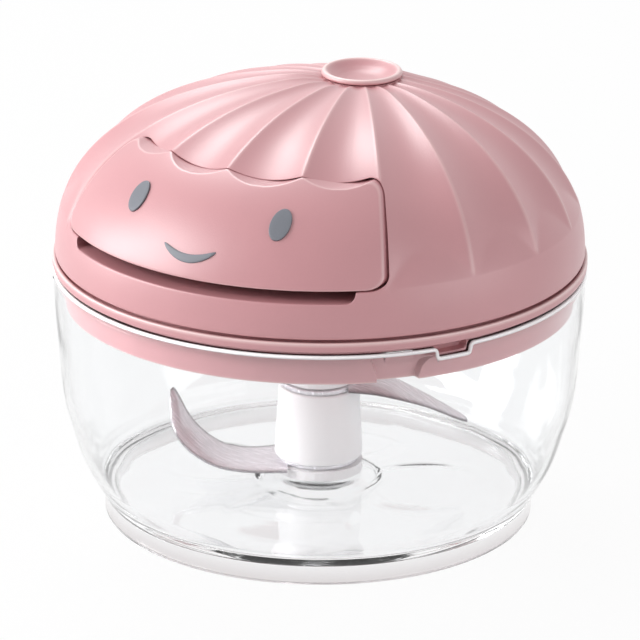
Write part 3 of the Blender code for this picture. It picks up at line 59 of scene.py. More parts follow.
# Bowl
BOWL_RADIUS = 67.9 * MM
BOWL_WALL = 1.8 * MM
RIM_Z = 66.2 * MM
RIM_LIP_REACH = 0.35 * MM
RIM_LIP_HEIGHT = 1.6 * MM
# Near-white bead laid on the rim as a painted highlight line: its radius, inset and drop
RIM_BEAD_RADIUS = 0.48 * MM
RIM_BEAD_INSET = 0.14 * MM
RIM_BEAD_DROP = 0.5 * MM
BOWL_OUTER_SHARES = (
    (1.0, 0.968), (0.999, 0.86), (0.988, 0.70), (0.970, 0.49), (0.941, 0.37), (0.897, 0.23),
    (0.822, 0.085),
)
FOOT_RADIUS = 55.408 * MM
FOOT_WIDTH = 2.4 * MM
FLOOR_Z = 7.5 * MM
FLOOR_UNDER_Z = 5.2 * MM
BOSS_RADIUS = 15.6 * MM
BOSS_Z = 9.5 * MM
PIN_HOLE_RADIUS = 2.8 * MM
PIN_HOLE_Z = 6.3 * MM
NOTCH_ANGLE = -30.3 * DEGREE
LUG_ANGLE = -42.3 * DEGREE

# Lid ring
FLANGE_RADIUS = 68.3 * MM
FLANGE_Z = 67.1 * MM
PLATE_Z = 69.5 * MM
SEAM_Z = 70.2 * MM
SKIRT_RADIUS = 64.9 * MM
SKIRT_WALL = 3.5 * MM
SKIRT_Z = 57.7 * MM
COLLAR_RADIUS = 65.2 * MM
SEAM_LEDGE_RADIUS = 67.35 * MM
SEAM_FLOOR_Z = 68.8 * MM
HUB_RADIUS = 11.0 * MM
HUB_BORE = 7.3 * MM
HUB_LOW_Z = 61.3 * MM
HUB_TOP_Z = 72.8 * MM

# Dome
DOME_RADIUS = 67.6 * MM
DOME_RISE = 42.45 * MM
DOME_POWER = 2.3
DOME_WALL = 2.1 * MM
SEAM_ROUNDING = 0.3 * MM
DOME_TOP_WALL = 4.4 * MM
BAND_HEIGHT = 11.9 * MM
FLUTE_COUNT = 21
FLUTE_PITCH = TURN / FLUTE_COUNT
FLUTE_SHARE = 0.11
FLUTE_DEPTH = 2.0 * MM
FLUTE_RUN_IN = 8.2 * MM
RIDGE_ROUNDING = 0.024
CREASE_ROUNDING = 0.22 * MM
# Painted highlight along each flute ridge: its strength and width
CREST_HIGHLIGHT = 0.3
CREST_WIDTH = 0.3 * MM
CROWN_Y = 20.4 * MM
CROWN_Z = 112.4 * MM
CROWN_RADIUS = 10.4 * MM
CROWN_SEAT_RADIUS = 10.1 * MM
CROWN_SEAT_Z = 110.8 * MM
CROWN_FLARE = 11.0 * MM
CROWN_HOLE_RADIUS = 9.2 * MM
CROWN_HOLE_Z = 107.05 * MM

# Pull panel and the pocket behind it
PANEL_ANGLE = 33.7 * DEGREE
PANEL_TURN = 0.45 * DEGREE
PANEL_TOP_RISE = 34.0 * MM
PANEL_THICKNESS = 2.6 * MM
PANEL_CORNER = 3.0 * MM
PANEL_TOP_CORNER = 3.0 * MM
PANEL_ROUNDING = 0.5 * MM
# Strength of the painted highlight along the pull panel's rounded edge
EDGE_HIGHLIGHT = 0.3
REAR_ROUNDING = 0.35 * MM
TOP_SLOPE = 0.45
LEFT_GAP = 0.2 * MM
RIGHT_GAP = 0.9 * MM
LOW_GAP = 0.35 * MM
TOP_GAP = 0.12 * MM
CORNER_GAP = 0.6 * MM
OPENING_ROUNDING = 0.4 * MM
LEFT_ROUNDING = 0.2 * MM
OPENING_SIDE_REACH = 56.0 * MM
SLOT_HEIGHT = 3.0 * MM
SLOT_HALF = 39.7 * MM
SLOT_CORNER = 1.6 * MM
POCKET_RADIUS = 37.5 * MM
POCKET_WALL = 1.6 * MM
POCKET_END = 14.0 * MM
EYELET_Z = 89.8 * MM
EYELET_HOLE = 2.9 * MM
BLIND_DEPTH = 1.2 * MM

GRID_WELD = 0.8e-6


def unit(vectors):
    """The same vectors at length one."""
    return vectors / np.linalg.norm(vectors, axis=-1, keepdims=True)


def smoothstep(share):
    """Smooth rise from 0 to 1: 3 s^2 - 2 s^3."""
    return share * share * (3 - 2 * share)


def bent(start, corner, end, share):
    """Quadratic curve from start to end, drawn towards the corner."""
    return (1 - share) ** 2 * start + 2 * share * (1 - share) * corner + share ** 2 * end


def from_nearest(angle, first, count):
    """Angle from the nearest of evenly spaced places about an axis, the first at a given angle."""
    return ((count * (angle - first) + math.pi) % TURN - math.pi) / count


def at_thirds(first, offsets):
    """Angles at offsets from each of three places a third of a turn apart."""
    return (first + TURN / 3 * np.arange(3)[:, None] + offsets).ravel() % TURN


def clear_of(values, special, least):
    """Values that keep a least distance from every special one."""
    return values[np.min(np.abs(values[:, None] - special), axis=1) > least]


def merged(values, special, least):
    """Special values and those that keep a least distance from them, in order."""
    return np.unique(np.round(np.concatenate((clear_of(values, special, least), special)), 9))


def about_axis(radius, angle, height):
    """Points at a radius, an angle and a height: x = r cos t, y = r sin t, z = h."""
    return np.stack(np.broadcast_arrays(radius * np.cos(angle), radius * np.sin(angle), height), -1)


def ray_reach(angle, radius):
    """Distance from the crown's centre, along a plan angle, to a circle about the main axis.

    It is the positive root of the triangle formed by the crown's offset and the two radii.
    """
    along = CROWN_Y * np.sin(angle)
    return -along + np.sqrt(np.maximum(along ** 2 - CROWN_Y ** 2 + radius ** 2, 0))


def dome_radius(rise, inset=0.0, top_inset=None):
    """Radius of the smooth dome at a rise: the superellipse (r / R)^p + (h / H)^p = 1."""
    height = DOME_RISE - (inset if top_inset is None else top_inset)
    share = np.clip(rise / height, 0, 1)
    return (DOME_RADIUS - inset) * (1 - share ** DOME_POWER) ** (1 / DOME_POWER)


def dome_rise(radius):
    """Rise of the smooth dome at a radius, the same superellipse solved for the height."""
    share = np.clip(radius / DOME_RADIUS, 0, 1)
    return DOME_RISE * (1 - share ** DOME_POWER) ** (1 / DOME_POWER)


def dome_normal(points):
    """Outward unit normals of the smooth dome: the gradient of its superellipse."""
    radius = np.maximum(np.hypot(points[..., 0], points[..., 1]), 1e-9)
    rise = np.maximum(points[..., 2] - SEAM_Z, 0)
    outward = (radius / DOME_RADIUS) ** (DOME_POWER - 1) / DOME_RADIUS / radius
    upward = (rise / DOME_RISE) ** (DOME_POWER - 1) / DOME_RISE
    return unit(np.stack((points[..., 0] * outward, points[..., 1] * outward, upward), -1))


def on_dome(points):
    """Move points on to the smooth dome, along the line to the centre of its seam."""
    radius = np.hypot(points[..., 0], points[..., 1])
    rise = np.maximum(points[..., 2] - SEAM_Z, 0)
    share = (radius / DOME_RADIUS) ** DOME_POWER + (rise / DOME_RISE) ** DOME_POWER
    centre = np.array((0, 0, SEAM_Z))
    return centre + (points - centre) / share[..., None] ** (1 / DOME_POWER)


def soft_min(first, second, rounding):
    """Smaller of two values, with the corner between them rounded off by a quadratic."""
    share = np.clip(0.5 + 0.5 * (second - first) / rounding, 0, 1)
    return second + (first - second) * share - rounding * share * (1 - share)


def ridge_distance(angle):
    """Distance from the nearest ridge in flute widths, with the cusp at the ridge rounded.

    The angle is measured at the crown's centre from the front. The cusp is a hyperbola.
    """
    share = (angle / FLUTE_PITCH) % 1
    away = np.minimum(share, 1 - share)
    rounded = np.sqrt(away ** 2 + RIDGE_ROUNDING ** 2) - RIDGE_ROUNDING
    return rounded * 0.5 / (math.sqrt(0.25 + RIDGE_ROUNDING ** 2) - RIDGE_ROUNDING)


def fluted_surface(angle, reach):
    """Points of the fluted dome at an angle about the crown's centre and a distance from it.

    Each flute is the parabola 4 t (1 - t) between two ridges, sunk along the dome's normal.
    Its depth grows with the distance from the crown and runs out at the band. Near the crown
    the surface flares up to the seat of the disc with the square of the distance. It also gives
    a painted highlight along each ridge, faded in above the band.
    """
    plan = angle - math.pi / 2
    flat = np.stack((reach * np.cos(plan), CROWN_Y + reach * np.sin(plan)), -1)
    rise = dome_rise(np.hypot(flat[..., 0], flat[..., 1]))
    points = np.concatenate((flat, (rise + SEAM_Z)[..., None]), -1)
    away = ridge_distance(angle)
    scoop = np.minimum(FLUTE_SHARE * reach * FLUTE_PITCH, FLUTE_DEPTH) * 4 * away * (1 - away)
    run_in = FLUTE_DEPTH * np.maximum(rise - BAND_HEIGHT, 0) / FLUTE_RUN_IN
    sunk = np.where(rise > BAND_HEIGHT, np.maximum(soft_min(scoop, run_in, CREASE_ROUNDING), 0), 0)
    points = points - dome_normal(points) * sunk[..., None]
    edge = np.hypot(CROWN_SEAT_RADIUS * np.cos(plan), CROWN_Y + CROWN_SEAT_RADIUS * np.sin(plan))
    lift = CROWN_SEAT_Z - SEAM_Z - dome_rise(edge)
    points[..., 2] += lift * np.maximum(1 - (reach - CROWN_SEAT_RADIUS) / CROWN_FLARE, 0) ** 2
    # Painted highlight: lighter colour along each rounded ridge, faded in above the band
    crest = CREST_HIGHLIGHT * np.exp(-(away * reach * FLUTE_PITCH / CREST_WIDTH) ** 2)
    return points, crest * np.clip((rise - BAND_HEIGHT) / (1.5 * MM), 0, 1)


def fluted_dome(angle, radius):
    """Points of the fluted dome at an angle about the crown's centre and a main radius."""
    return fluted_surface(angle, ray_reach(angle - math.pi / 2, radius))


def rounded(corners, rounding, steps=6, closed=False):
    """Profile whose corners are replaced by quadratic curves.

    Each curve starts and ends one rounding length from its corner, or half way to the next.
    """
    corners = np.asarray(corners, float)
    reach = np.broadcast_to(np.asarray(rounding, float), (len(corners),)).copy()
    if not closed:
        reach[0] = reach[-1] = 0
    ahead = np.roll(corners, -1, 0) - corners
    back = np.roll(corners, 1, 0) - corners
    ahead_length = np.linalg.norm(ahead, axis=1)
    back_length = np.linalg.norm(back, axis=1)
    out = np.minimum(reach, ahead_length * 0.48) / ahead_length
    into = np.minimum(reach, back_length * 0.48) / back_length
    start = corners + back * into[:, None]
    end = corners + ahead * out[:, None]
    share = np.linspace(0, 1, steps + 1)[None, :, None]
    points = bent(start[:, None], corners[:, None], end[:, None], share).reshape(-1, 2)
    keep = np.ones(len(points), bool)
    keep[1:] = np.linalg.norm(np.diff(points, axis=0), axis=1) > 1e-7
    points = points[keep]
    return np.vstack((points, points[:1])) if closed else points


def divided(points, spacing):
    """Profile with extra points, so that none are further apart than the spacing."""
    length = np.concatenate(([0], np.cumsum(np.linalg.norm(np.diff(points, axis=0), axis=1))))
    extra = np.arange(0, length[-1], spacing)
    where = np.unique(np.round(np.concatenate((length, extra)), 9))
    return np.stack([np.interp(where, length, points[:, axis]) for axis in range(points.shape[1])], -1)


def turned_at(profile, angle):
    """Grid of an (r, z) profile at given angles about the main axis."""
    return about_axis(profile[:, 0:1], angle, profile[:, 1:2])


def turned(profile, steps=160, centre=(0.0, 0.0)):
    """Grid of an (r, z) profile carried round an upright axis through the centre (x, y)."""
    return turned_at(profile, np.linspace(0, TURN, steps, endpoint=False)) + np.array((*centre, 0))


def turned_along_y(profile, steps=64, centre=(0.0, 0.0)):
    """Grid of an (r, y) profile carried round an axis along Y through the centre (x, z)."""
    return turned(profile, steps, centre)[..., (0, 2, 1)]


def tube(route, radius, around=20):
    """Grid of a circle carried along a route, with both ends closed to a point.

    The circle's frame is turned by the least amount from point to point, projected from Z.
    """
    along = unit(np.gradient(route, axis=0))
    up = unit(np.array((0, 0, 1.0)) - along * along[:, 2:3])
    side = np.cross(along, up)
    angle = np.linspace(0, TURN, around, endpoint=False)
    turn = angle[None, :, None]
    wall = route[:, None] + radius * (side[:, None] * np.cos(turn) + up[:, None] * np.sin(turn))
    ends = [np.repeat(route[index][None, None], around, 1) for index in (0, -1)]
    return np.concatenate((ends[0], wall, ends[1]), 0)


def placed(name, data):
    """New object in the scene that holds the data."""
    thing = bpy.data.objects.new(name, data)
    bpy.context.scene.collection.objects.link(thing)
    return thing


def piece(name, patches, finish, body, replaced=(), sharp=42):
    """Weld point grids into one mesh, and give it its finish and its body.

    A patch is (grid, wrapped) or (grid, wrapped, crest). Quads join neighbouring rows and
    columns of each grid, and a wrapped grid joins its last column to its first.
    """
    points, faces, crests, offset = [], [], [], 0
    for patch in patches:
        grid, wrapped = patch[:2]
        rows, columns = grid.shape[:2]
        row = np.arange(rows - 1)[:, None] * columns
        column = np.arange(columns if wrapped else columns - 1)
        after = (column + 1) % columns
        below = row + columns
        quads = np.stack((row + column, row + after, below + after, below + column), -1)
        faces.append(quads.reshape(-1, 4) + offset)
        points.append(grid.reshape(-1, 3))
        crest = patch[2] if len(patch) > 2 else 0.0
        crests.append(np.broadcast_to(crest, (rows, columns)).ravel())
        offset += rows * columns
    mesh = bpy.data.meshes.new(name)
    mesh.from_pydata(np.concatenate(points), [], np.concatenate(faces))
    layer = mesh.attributes.new("crest", "FLOAT", "POINT")
    layer.data.foreach_set("value", np.concatenate(crests).astype(np.float32))
    shape = bmesh.new()
    shape.from_mesh(mesh)
    bmesh.ops.remove_doubles(shape, verts=shape.verts, dist=GRID_WELD)
    bmesh.ops.recalc_face_normals(shape, faces=shape.faces)
    shape.to_mesh(mesh)
    shape.free()
    mesh.shade_smooth()
    mesh.set_sharp_from_angle(angle=sharp * DEGREE)
    mesh.materials.append(finish)
    thing = placed(name, mesh)
    if body:
        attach(thing, body)
    if replaced:
        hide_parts(*replaced)
    return thing


# Finishes
PALE_GREY = (0.8, 0.8, 0.8, 1)


def linear(colour):
    """Linear light of an sRGB colour given as 0-255."""
    share = np.asarray(colour, float) / 255
    light = np.where(share <= 0.04045, share / 12.92, ((share + 0.055) / 1.055) ** 2.4)
    return (*light, 1.0)


def feed(node, values):
    """Set a node's inputs: a socket among the values is linked, anything else is a constant."""
    for key, value in values.items():
        if isinstance(value, bpy.types.NodeSocket):
            node.id_data.links.new(value, node.inputs[key])
        else:
            node.inputs[key].default_value = value


def add(tree, kind, values=(), out=0):
    """Add a shader node with these inputs, and return one of its outputs."""
    node = tree.nodes.new("ShaderNode" + kind)
    feed(node, dict(values))
    return node.outputs[out]


def maths(tree, operation, *values):
    """Result of a maths node for its values in order."""
    node = tree.nodes.new("ShaderNodeMath")
    node.operation = operation
    feed(node, dict(enumerate(values)))
    return node.outputs[0]


def colour_mix(tree, share, first, second):
    """Two colours mixed by a share."""
    node = tree.nodes.new("ShaderNodeMix")
    node.data_type = "RGBA"
    feed(node, {"Factor": share, "A": first, "B": second})
    return node.outputs["Result"]


def crest_share(tree):
    """The mark that piece() writes on the mesh: painted highlight along crests and edges, painted
    shade at the inlays' feet and the blades' edges, and a greyer tint in the bowl's foot.
    """
    mark = add(tree, "Attribute", out="Fac")
    mark.node.attribute_name = "crest"
    return mark


def object_place(tree):
    """Object coordinates."""
    return add(tree, "TexCoord", out="Object")


def show(tree, end, share, first, second):
    """Lead two shaders to the tree's end: the second by the share, the first by the rest."""
    feed(tree.nodes[end], {"Surface": add(tree, "MixShader", {"Fac": share, 1: first, 2: second})})


def moulded_grain_group():
    """Satin moulded grain: a fine noise makes the bump, and a broad one shades the colour."""
    tree = bpy.data.node_groups.new("moulded_grain", "ShaderNodeTree")
    for label, kind, default in (
            ("Colour", "Color", PALE_GREY), ("Grain size", "Float", 0.0004),
            ("Grain depth", "Float", 0.00002), ("Shade", "Float", 0.04), ("Roughness", "Float", 0.4)):
        socket = tree.interface.new_socket(label, in_out="INPUT", socket_type="NodeSocket" + kind)
        socket.default_value = default
    for label, kind in (("Colour", "Color"), ("Roughness", "Float"), ("Normal", "Vector")):
        tree.interface.new_socket(label, in_out="OUTPUT", socket_type="NodeSocket" + kind)
    given = tree.nodes.new("NodeGroupInput").outputs
    place = object_place(tree)
    per_metre = maths(tree, "DIVIDE", 1.0, given["Grain size"])
    fine = add(tree, "TexNoise", {
        "Vector": place, "Scale": per_metre, "Detail": 2.5, "Roughness": 0.6})
    broad = add(tree, "TexNoise", {"Vector": place, "Scale": 38.0, "Detail": 2.0})
    spread = add(tree, "MapRange", {
        "Value": broad, "From Min": 0.3, "From Max": 0.7, "To Max": given["Shade"]})
    speck = maths(tree, "MULTIPLY", fine, given["Shade"])
    left = maths(tree, "SUBTRACT", 1.0, maths(tree, "ADD", spread, speck))
    shaded = tree.nodes.new("ShaderNodeVectorMath")
    shaded.operation = "SCALE"
    feed(shaded, {0: given["Colour"], "Scale": left})
    feed(tree.nodes.new("NodeGroupOutput"), {
        "Colour": shaded.outputs[0],
        "Roughness": maths(tree, "MULTIPLY_ADD", broad, 0.10, given["Roughness"]),
        "Normal": add(tree, "Bump", {"Distance": given["Grain depth"], "Height": fine})})
    return tree


moulded_grain = moulded_grain_group()


def plain_material(name, colour):
    """New node material with its viewport colour, its tree and its Principled shader."""
    made = bpy.data.materials.new(name)
    made.use_nodes = True
    made.diffuse_color = colour
    return made, made.node_tree, made.node_tree.nodes["Principled BSDF"]


def moulded(name, colour, roughness, grain_size, grain_depth, shade, crest=None, specular=0.5):
    """Moulded plastic with its grain, and another colour mixed in by the crest mark if one is given,
    which is painted highlight or painted shade.
    """
    tone = linear(colour)
    made, tree, shader = plain_material(name, tone)
    if crest:
        tone = colour_mix(tree, crest_share(tree), tone, linear(crest))
    grain = tree.nodes.new("ShaderNodeGroup")
    grain.node_tree = moulded_grain
    feed(grain, {"Colour": tone, "Grain size": grain_size, "Grain depth": grain_depth,
                 "Shade": shade, "Roughness": roughness - 0.05})
    made_by = grain.outputs
    feed(shader, {"Base Color": made_by["Colour"], "Roughness": made_by["Roughness"],
                  "Normal": made_by["Normal"], "Specular IOR Level": specular})
    return made


def clear_material():
    """Clear moulded plastic that lets the lamps' light through, and is greyer in the foot."""
    made, tree, shader = plain_material("clear_polycarbonate", (0.95, 0.96, 0.97, 0.4))
    wave = add(tree, "TexNoise", {"Vector": object_place(tree), "Scale": 55.0, "Detail": 1.0})
    wall, foot = (0.965, 0.97, 0.975, 1), (0.74, 0.71, 0.715, 1)
    feed(shader, {
        "Base Color": colour_mix(tree, crest_share(tree), wall, foot),
        "Transmission Weight": 1.0, "IOR": 1.49, "Roughness": 0.03,
        "Normal": add(tree, "Bump", {"Strength": 0.5, "Distance": 0.0002, "Height": wave})})
    clear = add(tree, "BsdfTransparent", {"Color": (0.93, 0.94, 0.945, 1)})
    shadow = add(tree, "LightPath", out="Is Shadow Ray")
    show(tree, "Material Output", shadow, shader.outputs["BSDF"], clear)
    return made


def brushed_steel(name, stretch, roughness, colour=(214, 211, 214), metallic=1.0):
    """Stainless steel whose noise is stretched along one direction, as brushing leaves it, and
    darkened by the crest mark with painted shade along the blades' edges.
    """
    made, tree, shader = plain_material(name, linear(colour))
    lay = add(tree, "Mapping", {
        "Vector": object_place(tree), "Scale": stretch, "Rotation": (0, 0, BLADE_TURN)})
    lines = add(tree, "TexNoise", {"Vector": lay, "Scale": 1.0, "Detail": 3.0})
    tint = colour_mix(tree, lines, linear(colour), linear([value * 0.9 for value in colour]))
    spread = {"Value": lines, "To Min": roughness - 0.08, "To Max": roughness + 0.12}
    # Painted shade: the crest mark darkens the steel along the blades' edges
    feed(shader, {
        "Base Color": colour_mix(tree, crest_share(tree), tint, linear((104, 96, 100))),
        "Roughness": add(tree, "MapRange", spread),
        "Normal": add(tree, "Bump", {"Strength": 0.4, "Distance": 0.00001, "Height": lines}),
        "Metallic": metallic})
    return made


def twisted_nylon():
    """Twisted nylon cord: a wave across the fibres bumps the strands and darkens the valleys between
    them with painted shade.
    """
    made, tree, shader = plain_material("twisted_nylon", linear((235, 233, 228)))
    wave = add(tree, "TexWave", {
        "Vector": object_place(tree), "Scale": 260.0, "Distortion": 0.6}, "Fac")
    wave.node.wave_type = "BANDS"
    wave.node.bands_direction = "DIAGONAL"
    feed(shader, {
        "Base Color": colour_mix(tree, wave, linear((196, 191, 182)), linear((240, 237, 231))),
        "Normal": add(tree, "Bump", {"Distance": 0.00012, "Height": wave}),
        "Roughness": 0.75})
    return made


BLADE_TURN = 29.5 * DEGREE
PINK = (206, 145, 150)
PINK_HIGHLIGHT = (247, 214, 212)
INLAY_FOOT_SHADE = (52, 44, 50)
# Satin pink, made lighter by painted highlight where the crest mark runs along ridges and edges
satin_pink = moulded("satin_pink", PINK, 0.38, 0.00042, 0.00003, 0.05, PINK_HIGHLIGHT, 0.8)
feed(satin_pink.node_tree.nodes["Principled BSDF"], {"Coat Weight": 0.6, "Coat Roughness": 0.45})
column_white = moulded("column_white", (244, 242, 243), 0.34, 0.0006, 0.000008, 0.02)
inner_white = moulded("inner_white", (238, 236, 234), 0.45, 0.0006, 0.00001, 0.04)
# Grey inlays, darkened towards their feet by painted shade
inlay_grey = moulded("inlay_grey", (128, 131, 139), 0.42, 0.0003, 0.00003, 0.10, INLAY_FOOT_SHADE)
seal_silicone = moulded("seal_silicone", (226, 222, 219), 0.55, 0.0005, 0.00001, 0.04)
clear_bowl_plastic = clear_material()
blade_steel = brushed_steel("blade_steel", (160, 4200, 160), 0.24, (240, 237, 242), 0.35)
# Near-white opaque plastic of the bead that paints the rim's highlight line
rim_highlight_white = moulded("rim_highlight_white", (254, 250, 251), 0.25, 0.0006, 0.000004, 0.02)
turned_steel = brushed_steel("turned_steel", (160, 160, 5200), 0.3)
cord_nylon = twisted_nylon()

screws = [f"{kind}_screw_{index}" for kind in ("cover", "dome") for index in range(1, 5)]
for finish, names in (
        (turned_steel, ("bowl_pin", "cord_eyelet", "pivot_bush", "shaft_bush", "shaft_clip",
                        "reel_axle", "recoil_spring", "pawl_1", "pawl_2", *screws)),
        (inner_white, ("reel", "reel_cover", "drive_shaft", "cord_stop")),
        (seal_silicone, ("shaft_seal",)), (column_white, ("column_foot", "drive_socket"))):
    for name in names:
        for holder in nodes[name].material_slots:
            holder.material = finish


# Camera, at the photograph's viewing angle
CAMERA_AZIMUTH = 30.5 * DEGREE
CAMERA_ELEVATION = 20.5 * DEGREE
CAMERA_ROLL = 0.45 * DEGREE
CAMERA_DISTANCE = 1.3
CAMERA_AIM = (0.00011, 0.00007, 0.05023)
CAMERA_LENS = 284.7
camera_data = bpy.data.cameras.new("camera")
camera = placed("camera", camera_data)
camera_data.lens = CAMERA_LENS
camera_data.sensor_width = 36.0
camera_data.clip_start = 0.05
camera.location = (
    CAMERA_AIM[0] + CAMERA_DISTANCE * math.sin(CAMERA_AZIMUTH) * math.cos(CAMERA_ELEVATION),
    CAMERA_AIM[1] - CAMERA_DISTANCE * math.cos(CAMERA_AZIMUTH) * math.cos(CAMERA_ELEVATION),
    CAMERA_AIM[2] + CAMERA_DISTANCE * math.sin(CAMERA_ELEVATION))
camera.rotation_euler = (Matrix.Rotation(CAMERA_AZIMUTH, 3, "Z")
                         @ Matrix.Rotation(math.pi / 2 - CAMERA_ELEVATION, 3, "X")
                         @ Matrix.Rotation(CAMERA_ROLL, 3, "Z")).to_euler()
bpy.context.scene.camera = camera


# Cord
CORD_RADIUS = 0.9 * MM
WINDING_RADIUS = 18.0 * MM
WINDING_PITCH = 2.3 * MM
WINDING_LOOPS = 3
BEND_Y = 32.9 * MM
BEND_SIZE = 3.0 * MM
KNOT_RADIUS = 2.4 * MM
ANCHOR_Y = float(13.5 * MM - dome_radius(EYELET_Z - SEAM_Z))
KNOT_Y = ANCHOR_Y - 2.0 * MM - KNOT_RADIUS
CORD_EXIT = -math.pi / 2 - math.acos(WINDING_RADIUS / BEND_Y)


def winding_route():
    """Helix of three loops that ends at the eyelet's height where the cord leaves the reel."""
    left = WINDING_LOOPS * (1 - np.linspace(0, 1, WINDING_LOOPS * 64 + 1))
    return about_axis(WINDING_RADIUS, CORD_EXIT - TURN * left, EYELET_Z - WINDING_PITCH * left)


def stretch_route():
    """Tangent from the reel, one smooth bend, and a straight run through the eyelet to the knot."""
    start = WINDING_RADIUS * np.array((math.cos(CORD_EXIT), math.sin(CORD_EXIT)))
    bend = np.array((0, -BEND_Y))
    start = start + unit(bend - start) * 0.6 * MM
    end = np.array((0, KNOT_Y + KNOT_RADIUS + 0.3 * MM))
    flat = divided(rounded((start, bend, end), BEND_SIZE, 8), 0.8 * MM)
    return np.column_stack((flat, np.full(len(flat), EYELET_Z)))


piece("cord_loops", [(tube(winding_route(), CORD_RADIUS), True)], cord_nylon, "reel",
      ("cord_winding",))
cord_run = piece("cord_run", [(tube(stretch_route(), CORD_RADIUS), True)], cord_nylon, None,
                 ("pull_cord",))
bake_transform(cord_run)

turns = np.linspace(0, math.pi, 25)
swell = KNOT_RADIUS * np.sin(turns) * (1 - 0.06 * np.cos(6 * turns) ** 2)
knot_profile = np.column_stack((swell, KNOT_Y + KNOT_RADIUS * np.cos(turns)))
piece("cord_bead", [(turned_along_y(knot_profile, 40, (0, EYELET_Z)), True)], cord_nylon,
      "handle", ("cord_knot",))


# Dome shell: opening, pocket and cavity
CORNER_COLUMNS = 9
CORNER_BENDS = 1 - np.sin(np.linspace(0, math.pi / 2, CORNER_COLUMNS))
OPENING_TOP = PANEL_TOP_RISE + TOP_GAP
OPENING_LOW = BAND_HEIGHT - LOW_GAP
SLOT_LOW = BAND_HEIGHT - SLOT_HEIGHT
POST_ANGLES = (-120, -60, 35, 145)
POST_PITCH_RADIUS = 56 * MM
POST_RADIUS = 3.6 * MM
POST_TOP_RISE = 29 * MM
LINER_RISE = 7.205 * MM
DOME_NEAR = (0, .006, .012, .02, .032, .05, .08, .12, .17, .23, .30, .38, .46)
PANEL_NEAR = (0, .012, .03, .06, .1, .16, .24, .33, .42)


def flute_columns(flutes, near):
    """Angles of the columns in these flutes, at shares of a flute from the ridge on either side."""
    near = np.array(near)
    within = np.unique(np.concatenate((near, 1 - near[1:])))
    return (flutes[:, None] + within).ravel() * FLUTE_PITCH


def opening_sides(rounded_off):
    """Middle and half angle of the opening at the crown's centre.

    At 1 they are those of the rounded lip's outer edge, and at 0 those of the opening itself.
    """
    left_gap = LEFT_GAP + LEFT_ROUNDING * rounded_off
    right_gap = RIGHT_GAP + OPENING_ROUNDING * rounded_off
    left = PANEL_TURN - PANEL_ANGLE - left_gap / OPENING_SIDE_REACH
    right = PANEL_TURN + PANEL_ANGLE + right_gap / OPENING_SIDE_REACH
    return (left + right) / 2, (right - left) / 2


def corner_share(size):
    """Share of the opening's half width that a corner of this size takes up."""
    return size / (OPENING_SIDE_REACH * PANEL_ANGLE)


def quarter(share, start, stop):
    """0 before start, then one minus the quarter circle up to 1 at stop."""
    part = np.clip((share - start) / (stop - start), 0, 1)
    return 1 - np.sqrt(1 - part ** 2)


def slot_share():
    """Share of the opening's half width at which the finger slot ends."""
    reach = ray_reach(-math.pi / 2, dome_radius(BAND_HEIGHT)) - CROWN_Y
    angle = math.asin(SLOT_HALF / reach)
    plan = math.atan2(SLOT_HALF, reach * math.cos(angle) + CROWN_Y)
    return plan / opening_sides(0)[1]


SLOT_SHARE = float(slot_share())


def opening_low(share, rounded_off):
    """Rise of the opening's lower edge: the slot, its rounded ends and the rounded corners."""
    share = np.abs(share)
    ends = quarter(share, SLOT_SHARE - corner_share(SLOT_CORNER), SLOT_SHARE)
    corner = PANEL_CORNER + CORNER_GAP
    rise = SLOT_LOW + (OPENING_LOW - SLOT_LOW) * ends
    rise = rise + corner * quarter(share, 1 - corner_share(corner), 1)
    return rise - OPENING_ROUNDING * rounded_off


def opening_top(share, rounded_off):
    """Rise of the opening's upper edge, with its rounded corners."""
    corner = PANEL_TOP_CORNER + CORNER_GAP / 2
    round_corner = quarter(np.abs(share), 1 - corner_share(corner), 1)
    return OPENING_TOP - corner * round_corner + OPENING_ROUNDING / 2 * rounded_off


def dome_columns():
    """Angles of the grid's columns, crowded at each ridge and at the opening's corners."""
    angles = flute_columns(np.arange(FLUTE_COUNT), DOME_NEAR)
    angles = (angles + math.pi) % TURN - math.pi
    middle, half = opening_sides(1)
    special = np.unique(np.round(np.concatenate((
        1 - corner_share(PANEL_CORNER + CORNER_GAP) * CORNER_BENDS,
        1 - corner_share(PANEL_TOP_CORNER + CORNER_GAP / 2) * CORNER_BENDS,
        SLOT_SHARE - corner_share(SLOT_CORNER) * CORNER_BENDS,
        (1.0035, 1.01, 1.02, 1.032, SLOT_SHARE + 0.004))), 6))
    return merged(angles, middle + half * np.concatenate((special, -special)), 0.0012)


def outer_level(angles):
    """Lower and upper edge of the middle band of rows at each column."""
    middle, half = opening_sides(1)
    share = np.clip((angles - middle) / half, -1, 1)
    past = np.clip((np.abs(angles - middle) - half) / (1.1 * DEGREE), 0, 1)
    low = opening_low(share, 1) * (1 - past) + BAND_HEIGHT * past
    top = opening_top(share, 1) * (1 - past) + OPENING_TOP * past
    return low, top


